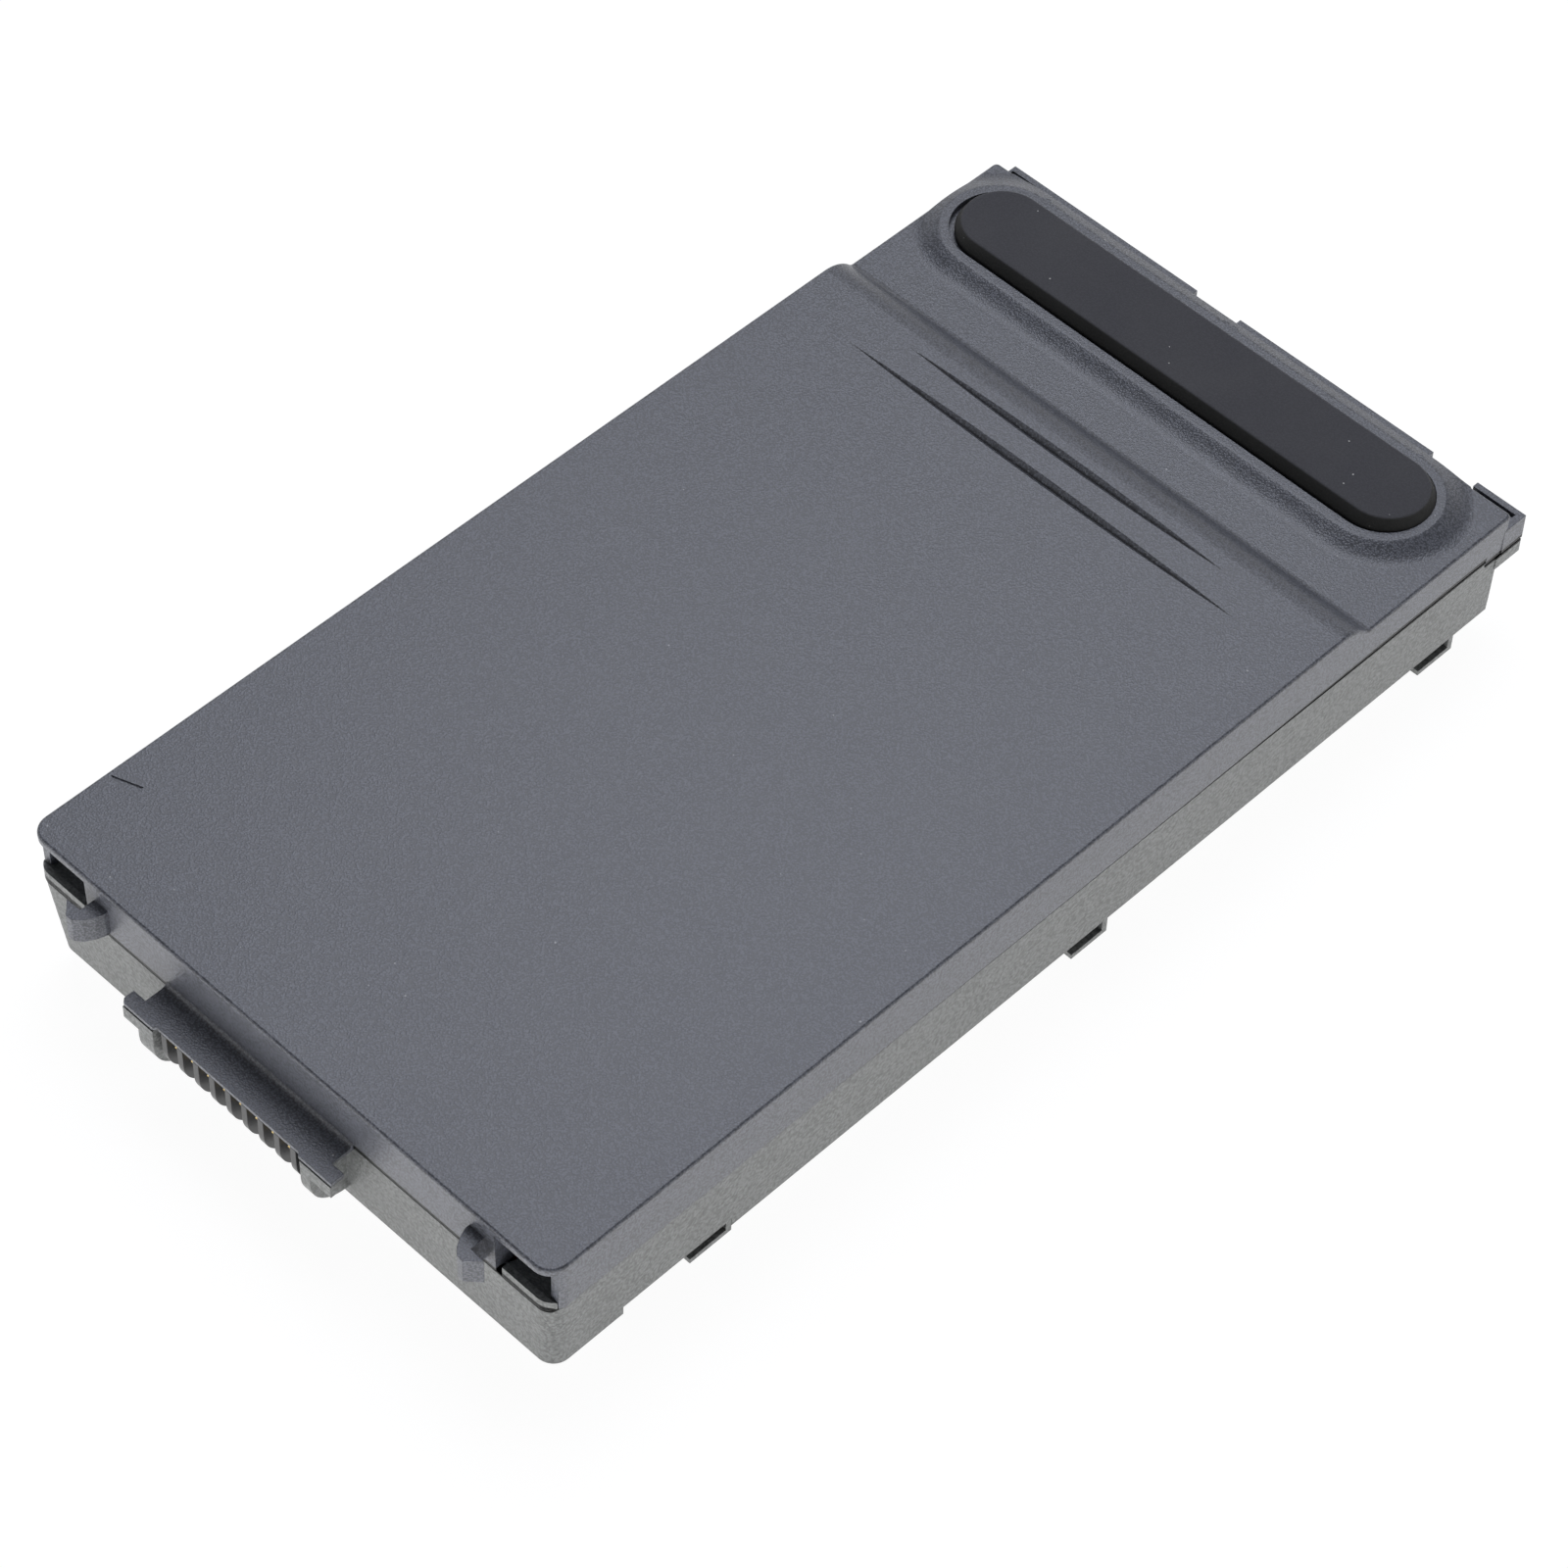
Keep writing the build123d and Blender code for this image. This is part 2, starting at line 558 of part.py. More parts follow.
# Nickel straps: plates across the cell ends, with a tab for a lead or a tongue to the board
strap_low = cell_z - 4.5
strap_tall = 9.0
tongue_y = cell_pitch + 2.35
edge_y = columns[0] + cell_rad - 0.6
with BuildPart() as strap_positive:
    with BuildSketch(Plane.YZ.offset(row_a - strap_thick)):
        with Locations((cell_pitch, cell_z)):
            Rectangle(cell_pitch + 11.0, strap_tall)
        with Locations((tongue_y, (cell_z + board_z[1] + strap_thick) / 2)):
            Rectangle(6.0, board_z[1] + strap_thick - cell_z)
    extrude(amount=strap_thick)
    with BuildSketch(Plane.XY.offset(board_z[1])):
        with Locations(((board_x + row_a) / 2, tongue_y)):
            Rectangle(row_a - board_x, 6.0)
    extrude(amount=strap_thick)
strap_positive.part.label = "strap_positive"
export_step(strap_positive.part, "parts/strap_positive.step")

with BuildPart() as strap_negative:
    with BuildSketch(Plane.YZ.offset(row_a - strap_thick)):
        with Locations((-cell_pitch, cell_z)):
            Rectangle(cell_pitch + 11.0, strap_tall)
        with Locations((-tongue_y, (cell_z + board_z[1] + strap_thick) / 2)):
            Rectangle(6.0, board_z[1] + strap_thick - cell_z)
    extrude(amount=strap_thick)
    with BuildSketch(Plane.XY.offset(board_z[1])):
        with Locations(((board_x + row_a) / 2, -tongue_y)):
            Rectangle(row_a - board_x, 6.0)
    extrude(amount=strap_thick)
strap_negative.part.label = "strap_negative"
export_step(strap_negative.part, "parts/strap_negative.step")

for side, name in ((1, "strap_mid_left"), (-1, "strap_mid_right")):
    with BuildPart() as strap_mid:
        with BuildSketch(Plane.YZ.offset(row_mid)):
            with Locations((side * cell_pitch, cell_z)):
                Rectangle(cell_pitch + 14.0, strap_tall)
            with Locations((side * (edge_y - 0.4), lead_z)):
                Rectangle(6.4, 2.4)
        extrude(amount=strap_thick)
    strap_mid.part.label = name
    export_step(strap_mid.part, f"parts/{name}.step")

with BuildPart() as strap_foot:
    with BuildSketch(Plane.YZ.offset(row_end)):
        with Locations((0, cell_z)):
            Rectangle(3 * cell_pitch + 14.0, strap_tall)
        with Locations((0.4 - edge_y, foot_lead_z)):
            Rectangle(6.4, 2.4)
    extrude(amount=strap_thick)
strap_foot.part.label = "strap_foot"
export_step(strap_foot.part, "parts/strap_foot.step")


# Insulating papers at both ends of the cell block
paper_top = cell_z + 6.4
with BuildPart() as paper_connector:
    with BuildSketch(Plane.YZ.offset(row_a - strap_thick - paper_thick)):
        with Locations((0, (floor_z + paper_top) / 2)):
            Rectangle(3 * cell_pitch + 10.05, paper_top - floor_z)
    extrude(amount=paper_thick)
paper_connector.part.label = "paper_connector"
export_step(paper_connector.part, "parts/paper_connector.step")

with BuildPart() as paper_foot:
    with BuildSketch(Plane.YZ.offset(row_end + strap_thick)):
        with Locations((0, (floor_z + paper_top) / 2)):
            Rectangle(3 * cell_pitch + 18.05, paper_top - floor_z)
    extrude(amount=paper_thick)
paper_foot.part.label = "paper_foot"
export_step(paper_foot.part, "parts/paper_foot.step")


# Adhesive strips under the cells and foam strips over them
for number, strip_x in enumerate((row_a + cell_len / 2, row_b + cell_len / 2), start=1):
    with BuildPart() as cell_strip:
        with BuildSketch(Plane.XY.offset(floor_z)):
            with Locations((strip_x, 0)):
                Rectangle(14.0, 4 * cell_pitch - 2.6)
        extrude(amount=cell_tape)
    cell_strip.part.label = f"cell_tape_{number}"
    export_step(cell_strip.part, f"parts/cell_tape_{number}.step")
    with BuildPart() as foam_strip:
        with BuildSketch(Plane.XY.offset(cell_z + cell_rad)):
            with Locations((strip_x, 0)):
                Rectangle(12.0, 4 * cell_pitch - 2.6)
        extrude(amount=foam_thick)
    foam_strip.part.label = f"foam_strip_{number}"
    export_step(foam_strip.part, f"parts/foam_strip_{number}.step")


# Circuit board standing behind the end wall
with BuildPart() as circuit_board:
    with BuildSketch(Plane.YZ.offset(board_x)):
        with Locations(((board_y[0] + board_y[1]) / 2, (board_z[0] + board_z[1]) / 2)):
            Rectangle(board_y[1] - board_y[0], board_z[1] - board_z[0])
    extrude(amount=board_thick)
circuit_board.part.label = "circuit_board"
export_step(circuit_board.part, "parts/circuit_board.step")

# Parts on the board: name, middle across, middle up, width, height, thickness
board_parts = [("gauge_chip", 4.0, 12.0, 9.7, 6.4, 1.2), ("guard_chip", 15.5, 12.0, 6.5, 4.4, 1.0),
               ("transistor_1", -6.0, 12.5, 5.0, 6.0, 1.5), ("transistor_2", -12.5, 12.5, 5.0, 6.0, 1.5),
               ("sense_resistor", -9.0, 6.5, 6.3, 3.2, 0.7), ("fuse", 6.0, 6.2, 9.5, 3.6, 1.8)]
for name, mid_y, mid_z, wide, tall, thick in board_parts:
    with BuildPart() as board_part:
        with BuildSketch(Plane.YZ.offset(board_face)):
            with Locations((mid_y, mid_z)):
                Rectangle(wide, tall)
        extrude(amount=thick)
        chamfer(board_part.faces().sort_by(Axis.X)[-1].edges(), 0.15)
    board_part.part.label = name
    export_step(board_part.part, f"parts/{name}.step")


# Sense leads: straight runs beside the cells, turned in to the face of the board
lead_x = board_face + lead_rad
lead_paths = [("lead_mid_left", 1, row_mid, lead_z, board_y[1] - 5.5),
              ("lead_mid_right", -1, row_mid, lead_z, -board_y[0] - 5.5),
              ("lead_foot", -1, row_end, foot_lead_z, -board_y[0] - 5.5)]
for name, side, start_x, height, end_y in lead_paths:
    with BuildPart() as lead:
        with BuildLine() as lead_line:
            FilletPolyline((start_x, side * lead_y, height), (lead_x, side * lead_y, height),
                           (lead_x, side * end_y, height), radius=3.2)
        with BuildSketch(Plane(origin=lead_line.line @ 0, z_dir=lead_line.line % 0)):
            RegularPolygon(lead_rad, 8, major_radius=False, rotation=22.5)
        sweep()
    lead.part.label = name
    export_step(lead.part, f"parts/{name}.step")

# Thermistor: a bead on the outer cell with its own lead
with BuildPart() as thermistor:
    with BuildSketch(Plane.YZ.offset(x_conn + 14.0)):
        with Locations((lead_y, cell_z)):
            RegularPolygon(thermistor_rad, 16)
    extrude(amount=2.4)
    with BuildLine() as bead_line:
        FilletPolyline((x_conn + 15.0, lead_y, cell_z), (board_face + 0.35, lead_y, cell_z),
                       (board_face + 0.35, board_y[1] - 4.5, cell_z), radius=3.2)
    with BuildSketch(Plane(origin=bead_line.line @ 0, z_dir=bead_line.line % 0)):
        RegularPolygon(0.35, 8, major_radius=False, rotation=22.5)
    sweep()
thermistor.part.label = "thermistor"
export_step(thermistor.part, "parts/thermistor.step")
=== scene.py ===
"""Portrait of a laptop battery pack: grained shells, rubber foot, connector, cells and board.

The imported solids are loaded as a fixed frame. Each sub-assembly is a class that builds its own
surfaces and dresses its solids, and each finish is a frozen dataclass that makes one material.
"""

import logging
import math
from dataclasses import dataclass, field
from enum import Enum

import bmesh
import bpy
import numpy as np
from mathutils import Matrix, Vector

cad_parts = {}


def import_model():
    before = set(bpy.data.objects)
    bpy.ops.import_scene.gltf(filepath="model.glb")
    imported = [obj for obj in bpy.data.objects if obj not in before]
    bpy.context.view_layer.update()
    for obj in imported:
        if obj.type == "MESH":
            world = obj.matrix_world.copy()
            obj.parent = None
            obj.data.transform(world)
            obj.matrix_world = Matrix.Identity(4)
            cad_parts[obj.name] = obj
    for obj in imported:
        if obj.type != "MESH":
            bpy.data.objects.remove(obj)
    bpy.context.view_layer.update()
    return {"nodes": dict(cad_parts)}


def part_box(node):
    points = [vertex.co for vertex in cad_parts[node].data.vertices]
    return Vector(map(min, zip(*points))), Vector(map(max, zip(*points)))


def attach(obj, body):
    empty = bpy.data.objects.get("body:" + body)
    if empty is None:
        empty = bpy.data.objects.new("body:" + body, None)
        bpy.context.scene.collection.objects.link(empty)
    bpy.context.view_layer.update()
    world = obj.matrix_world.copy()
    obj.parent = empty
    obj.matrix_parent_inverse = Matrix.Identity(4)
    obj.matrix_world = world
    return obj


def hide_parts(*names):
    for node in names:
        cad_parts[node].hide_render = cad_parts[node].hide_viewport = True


LOG = logging.getLogger("battery")
MM = 0.001
LEAST_WIDTH = 0.000001

Colour = tuple[float, float, float]
Nodes = dict[str, bpy.types.Object]
Socket = bpy.types.NodeSocket

WHITE: Colour = (1.0, 1.0, 1.0)
DUST: Colour = (0.62, 0.62, 0.62)
LINT: Colour = (0.66, 0.66, 0.64)
FLECK: Colour = (0.34, 0.35, 0.37)
# Near black for the painted shade in the gap between the shells.
SEAM_SHADE: Colour = (0.003, 0.003, 0.003)
SCRATCHED_FILM: Colour = (0.5, 0.52, 0.55)
TINNED: Colour = (0.62, 0.58, 0.47)


class Grain(Enum):
    """Surface of the mould that a plastic was shaped in."""

    LEATHER = "leather"
    SPARK = "spark"
    POLISHED = "polished"


class Sheet(Enum):
    """Kind of thin sheet inside the case."""

    PAPER = "paper"
    FOAM = "foam"
    ADHESIVE = "adhesive"


class Graph:
    """Small helper that adds nodes to a tree and links them."""

    def __init__(self, tree: bpy.types.NodeTree) -> None:
        """Keep the tree that nodes go into."""
        self.tree = tree

    def add(self, kind: str, **settings: object) -> bpy.types.Node:
        """Add a node and set its plain properties.

        Args:
            kind: Node type, such as ShaderNodeMath.
            settings: Properties of the node by name.

        Returns:
            The new node.
        """
        node = self.tree.nodes.new(kind)
        for name, value in settings.items():
            setattr(node, name, value)
        return node

    def feed(self, target: Socket, value: object) -> None:
        """Link a socket to the target, or set the target's own value."""
        if isinstance(value, bpy.types.NodeSocket):
            self.tree.links.new(value, target)
        else:
            target.default_value = value

    def sum(self, operation: str, *values: object, clamp: bool = False) -> Socket:
        """Do arithmetic on sockets and numbers.

        Args:
            operation: Name of the Math node's operation.
            values: Its inputs in order, sockets or numbers.
            clamp: Whether the result is held between 0 and 1.

        Returns:
            The result's socket.
        """
        node = self.add("ShaderNodeMath", operation=operation, use_clamp=clamp)
        for target, value in zip(node.inputs, values):
            self.feed(target, value)
        return node.outputs[0]

    def span(self, value: Socket, low: float, high: float, to_low: float = 0.0,
             to_high: float = 1.0) -> Socket:
        """Map a value from one range to another, smoothly and held at both ends.

        Args:
            value: Socket to map.
            low: Start of its range.
            high: End of its range.
            to_low: Result at the start.
            to_high: Result at the end.

        Returns:
            The mapped value's socket.
        """
        node = self.add("ShaderNodeMapRange", interpolation_type="SMOOTHSTEP")
        for target, given in zip(node.inputs, (value, low, high, to_low, to_high)):
            self.feed(target, given)
        return node.outputs[0]

    def mix(self, factor: object, first: object, second: object, blend: str = "MIX") -> Socket:
        """Blend two colours.

        Args:
            factor: Share of the second colour, or of the blend.
            first: Colour or socket.
            second: Colour or socket.
            blend: Blend type of the Mix node.

        Returns:
            The blended colour's socket.
        """
        node = self.add("ShaderNodeMix", data_type="RGBA", blend_type=blend)
        targets = (node.inputs[0], node.inputs[6], node.inputs[7])
        for target, value in zip(targets, (factor, first, second)):
            plain = isinstance(value, tuple) and len(value) == 3
            self.feed(target, (*value, 1.0) if plain else value)
        return node.outputs[2]

    def noise(self, where: Socket, size: object, detail: float = 2.0, rough: float = 0.5) -> Socket:
        """Cloudy noise whose clumps are about the given size in metres.

        Args:
            where: Coordinates in metres.
            size: Clump size, a number or a socket.
            detail: Octaves of finer noise.
            rough: Strength of each finer octave.

        Returns:
            The noise value's socket.
        """
        node = self.add("ShaderNodeTexNoise")
        self.feed(node.inputs["Vector"], where)
        linked = isinstance(size, bpy.types.NodeSocket)
        self.feed(node.inputs["Scale"], self.sum("DIVIDE", 1.0, size) if linked else 1.0 / size)
        self.feed(node.inputs["Detail"], detail)
        self.feed(node.inputs["Roughness"], rough)
        return node.outputs[0]

    def place(self) -> Socket:
        """Coordinates of the object itself, in metres."""
        return self.add("ShaderNodeTexCoord").outputs["Object"]


def new_group(
    name: str, inputs: dict[str, float], outputs: dict[str, str],
) -> tuple[bpy.types.NodeTree, Graph, bpy.types.Node, bpy.types.Node]:
    """Make an empty shader node group with named sockets.

    Args:
        name: Name of the group.
        inputs: Its number inputs with their first values.
        outputs: Its outputs with their socket types.

    Returns:
        The tree, a graph helper on it, and its input and output nodes.
    """
    tree = bpy.data.node_groups.new(name, "ShaderNodeTree")
    for label, value in inputs.items():
        socket = tree.interface.new_socket(label, in_out="INPUT", socket_type="NodeSocketFloat")
        socket.default_value = value
    for label, kind in outputs.items():
        tree.interface.new_socket(label, in_out="OUTPUT", socket_type=kind)
    graph = Graph(tree)
    return tree, graph, graph.add("NodeGroupInput"), graph.add("NodeGroupOutput")


class Effects:
    """Shader node groups that several finishes share, each made once."""

    made: dict[str, bpy.types.NodeTree] = {}

    @classmethod
    def use(cls, graph: Graph, name: str, **values: float) -> bpy.types.Node:
        """Place a shared group in a material.

        Args:
            graph: Graph of the material.
            name: Method of this class that makes the group.
            values: Numbers for its inputs, with _ for spaces.

        Returns:
            The group's node.
        """
        if name not in cls.made:
            cls.made[name] = getattr(cls, name)()
        node = graph.add("ShaderNodeGroup", node_tree=cls.made[name])
        for label, value in values.items():
            graph.feed(node.inputs[label.replace("_", " ").title()], value)
        return node

    @staticmethod
    def mould_grain() -> bpy.types.NodeTree:
        """Leather-like mould grain: rounded pebbles between fine creases, with cloudy tone.

        Height is a cell pattern bent by noise and mixed with finer noise; Tone is slow cloudy noise.

        Returns:
            The group's tree.
        """
        tree, g, given, out = new_group(
            "mould_grain", {"Pebble Size": 0.0005, "Spark": 0.5},
            {"Height": "NodeSocketFloat", "Tone": "NodeSocketFloat"})
        where = g.place()
        size = given.outputs["Pebble Size"]
        bent = g.add("ShaderNodeVectorMath", operation="MULTIPLY_ADD")
        wobble = g.add("ShaderNodeTexNoise")
        g.feed(wobble.inputs["Vector"], where)
        g.feed(wobble.inputs["Scale"], g.sum("DIVIDE", 0.8, size))
        g.feed(bent.inputs[0], wobble.outputs["Color"])
        g.feed(bent.inputs[1], g.sum("MULTIPLY", size, 0.9))
        g.feed(bent.inputs[2], where)
        cells = g.add("ShaderNodeTexVoronoi", feature="SMOOTH_F1")
        g.feed(cells.inputs["Vector"], bent.outputs[0])
        g.feed(cells.inputs["Scale"], g.sum("DIVIDE", 1.0, size))
        g.feed(cells.inputs["Smoothness"], 0.45)
        pebble = g.span(cells.outputs["Distance"], 0.15, 0.75, 1.0, 0.0)
        spark = g.noise(where, g.sum("MULTIPLY", size, 0.55), 3.0, 0.6)
        share = given.outputs["Spark"]
        height = g.sum("ADD", g.sum("MULTIPLY", pebble, g.sum("SUBTRACT", 1.0, share)),
                       g.sum("MULTIPLY", spark, share))
        g.feed(out.inputs["Height"], height)
        g.feed(out.inputs["Tone"], g.noise(where, 0.011, 4.0, 0.55))
        return tree

    @staticmethod
    def soft_edge() -> bpy.types.NodeTree:
        """Rounded shading at edges, and a broken mask of where hands have rubbed them.

        The mask is how far the rounded normal leans from the face's own normal, broken up by noise.

        Returns:
            The group's tree.
        """
        tree, g, given, out = new_group(
            "soft_edge", {"Radius": 0.0002, "Patch Size": 0.002},
            {"Normal": "NodeSocketVector", "Rub": "NodeSocketFloat"})
        bevel = g.add("ShaderNodeBevel", samples=4)
        g.feed(bevel.inputs["Radius"], given.outputs["Radius"])
        lean = g.add("ShaderNodeVectorMath", operation="DOT_PRODUCT")
        g.feed(lean.inputs[0], bevel.outputs[0])
        g.feed(lean.inputs[1], g.add("ShaderNodeNewGeometry").outputs["True Normal"])
        edge = g.span(lean.outputs["Value"], 0.975, 0.80)
        patch = g.span(g.noise(g.place(), given.outputs["Patch Size"], 4.0, 0.65), 0.54, 0.66)
        g.feed(out.inputs["Normal"], bevel.outputs[0])
        g.feed(out.inputs["Rub"], g.sum("MULTIPLY", edge, patch))
        return tree

    @staticmethod
    def dust() -> bpy.types.NodeTree:
        """Dust: scattered round specks of several sizes, thicker where the surface faces up.

        A speck is where a cell's distance is under a random radius.

        Returns:
            The group's tree.
        """
        tree, g, given, out = new_group(
            "dust", {"Spacing": 0.002, "Share": 0.3}, {"Specks": "NodeSocketFloat"})
        where = g.place()
        cells = g.add("ShaderNodeTexVoronoi")
        g.feed(cells.inputs["Vector"], where)
        g.feed(cells.inputs["Scale"], g.sum("DIVIDE", 1.0, given.outputs["Spacing"]))
        chance = g.add("ShaderNodeSeparateColor")
        g.feed(chance.inputs[0], cells.outputs["Color"])
        kept = g.sum("LESS_THAN", chance.outputs[0], given.outputs["Share"])
        radius = g.sum("MULTIPLY_ADD", chance.outputs[1], 0.045, 0.02)
        near = g.sum("LESS_THAN", cells.outputs["Distance"], radius)
        facing = g.add("ShaderNodeSeparateXYZ")
        g.feed(facing.inputs[0], g.add("ShaderNodeNewGeometry").outputs["Normal"])
        up = g.span(facing.outputs[2], 0.1, 0.9)
        g.feed(out.inputs["Specks"], g.sum("MULTIPLY", g.sum("MULTIPLY", kept, near), up))
        return tree

    @staticmethod
    def scuffs() -> bpy.types.NodeTree:
        """Fine scratches in two directions: noise drawn out along one axis and cut to thin lines.

        Returns:
            The group's tree.
        """
        tree, g, given, out = new_group(
            "scuffs", {"Length": 0.02, "Width": 0.00012}, {"Lines": "NodeSocketFloat"})
        lines = []
        for turn in (0.5, -0.9):
            turned = g.add("ShaderNodeMapping", vector_type="POINT")
            turned.inputs["Rotation"].default_value = (0.0, 0.0, turn)
            g.feed(turned.inputs["Vector"], g.place())
            drawn = g.add("ShaderNodeVectorMath", operation="MULTIPLY")
            stretch = g.add("ShaderNodeCombineXYZ")
            g.feed(stretch.inputs[0], g.sum("DIVIDE", 1.0, given.outputs["Length"]))
            g.feed(stretch.inputs[1], g.sum("DIVIDE", 1.0, given.outputs["Width"]))
            g.feed(stretch.inputs[2], g.sum("DIVIDE", 1.0, given.outputs["Length"]))
            g.feed(drawn.inputs[0], turned.outputs[0])
            g.feed(drawn.inputs[1], stretch.outputs[0])
            lines.append(g.span(g.noise(drawn.outputs[0], 1.0, 1.0, 0.4), 0.70, 0.78))
        g.feed(out.inputs["Lines"], g.sum("MAXIMUM", *lines))
        return tree

    @staticmethod
    def groove_shade_and_flecks() -> bpy.types.NodeTree:
        """Painted shade in a finger groove: a ragged dark line, pointed at both ends, with pale flecks
        beside it.

        Groove Shade is where the distance from the groove's middle, shaken by fine noise, is under a
        half-width that falls away towards each end; Fleck is sparse noise on the line's margin.

        Returns:
            The group's tree.
        """
        tree, g, given, out = new_group(
            "groove_shade_and_flecks", {"Across": 0.045, "Half Length": 0.033, "Half Width": 0.0004},
            {"Groove Shade": "NodeSocketFloat", "Fleck": "NodeSocketFloat"})
        where = g.place()
        at = g.add("ShaderNodeSeparateXYZ")
        g.feed(at.inputs[0], where)
        rag_size, rag_reach, fleck_size = 0.0005, 0.0009, 0.00035
        shake = g.sum("MULTIPLY_ADD", g.noise(where, rag_size, 3.0, 0.7), rag_reach, -rag_reach / 2.0)
        aside = g.sum("SUBTRACT", at.outputs[0], given.outputs["Across"])
        off = g.sum("ABSOLUTE", g.sum("ADD", aside, shake))
        way = g.sum("DIVIDE", at.outputs[1], given.outputs["Half Length"])
        reach = g.sum("SUBTRACT", 1.0, g.sum("MULTIPLY", way, way), clamp=True)
        wide = g.sum("MULTIPLY_ADD", given.outputs["Half Width"], g.sum("POWER", reach, 0.4), LEAST_WIDTH)
        share = g.sum("DIVIDE", off, wide)
        g.feed(out.inputs["Groove Shade"], g.span(share, 1.0, 0.35))
        margin = g.sum("MULTIPLY", g.span(share, 1.9, 1.2), g.span(share, 0.3, 0.7))
        flecks = g.span(g.noise(where, fleck_size, 1.0, 0.5), 0.60, 0.70)
        g.feed(out.inputs["Fleck"], g.sum("MULTIPLY", margin, flecks))
        return tree

    @staticmethod
    def parting_seam_and_shade() -> bpy.types.NodeTree:
        """Painted shade where the two shells meet: a dark line that opens towards the foot end and on the
        end wall.

        The line is where the height's distance from the seam is under a half-width that grows
        along X. Past the step the seam lies lower, and before the start, on the plate and tabs that
        stand out from the end wall, there is none.

        Returns:
            The group's tree.
        """
        tree, g, given, out = new_group(
            "parting_seam_and_shade",
            {"Height": 0.0139, "Start": -0.08315, "Step": 0.0813, "Drop": 0.0009, "Foot Width": 0.00065,
             "End Width": 0.00055},
            {"Seam": "NodeSocketFloat"})
        foot_run = (0.005, 0.08)
        end_run = (-0.0815, -0.0825)
        at = g.add("ShaderNodeSeparateXYZ")
        g.feed(at.inputs[0], g.place())
        past_step = g.sum("GREATER_THAN", at.outputs[0], given.outputs["Step"])
        height = g.sum("ADD", at.outputs[2], g.sum("MULTIPLY", past_step, given.outputs["Drop"]))
        off = g.sum("ABSOLUTE", g.sum("SUBTRACT", height, given.outputs["Height"]))
        foot = g.sum("MULTIPLY", g.span(at.outputs[0], *foot_run), given.outputs["Foot Width"])
        on_wall = g.sum("GREATER_THAN", at.outputs[0], given.outputs["Start"])
        wall = g.sum("MULTIPLY", g.span(at.outputs[0], *end_run), on_wall)
        end = g.sum("MULTIPLY", wall, given.outputs["End Width"])
        wide = g.sum("ADD", g.sum("MAXIMUM", foot, end), LEAST_WIDTH)
        g.feed(out.inputs["Seam"], g.span(g.sum("DIVIDE", off, wide), 1.0, 0.7))
        return tree


def start_material(name: str) -> tuple[bpy.types.Material, Graph, bpy.types.Node]:
    """Make a material that holds one Principled shader.

    Args:
        name: Name of the material.

    Returns:
        The material, a graph helper on its tree, and the shader node.
    """
    material = bpy.data.materials.new(name)
    material.use_nodes = True
    material.node_tree.nodes.clear()
    graph = Graph(material.node_tree)
    shader = graph.add("ShaderNodeBsdfPrincipled")
    graph.feed(graph.add("ShaderNodeOutputMaterial").inputs["Surface"], shader.outputs[0])
    return material, graph, shader


def bump(graph: Graph, height: Socket, depth: float, normal: Socket | None = None) -> Socket:
    """Turn a height pattern into a normal.

    Args:
        graph: Graph of the material.
        height: Height from 0 to 1.
        depth: Height of 1 in metres.
        normal: Normal that the pattern stands on, if it isn't the face's own.

    Returns:
        The bumped normal's socket.
    """
    node = graph.add("ShaderNodeBump")
    node.inputs["Distance"].default_value = depth
    graph.feed(node.inputs["Height"], height)
    if normal is not None:
        graph.feed(node.inputs["Normal"], normal)
    return node.outputs[0]


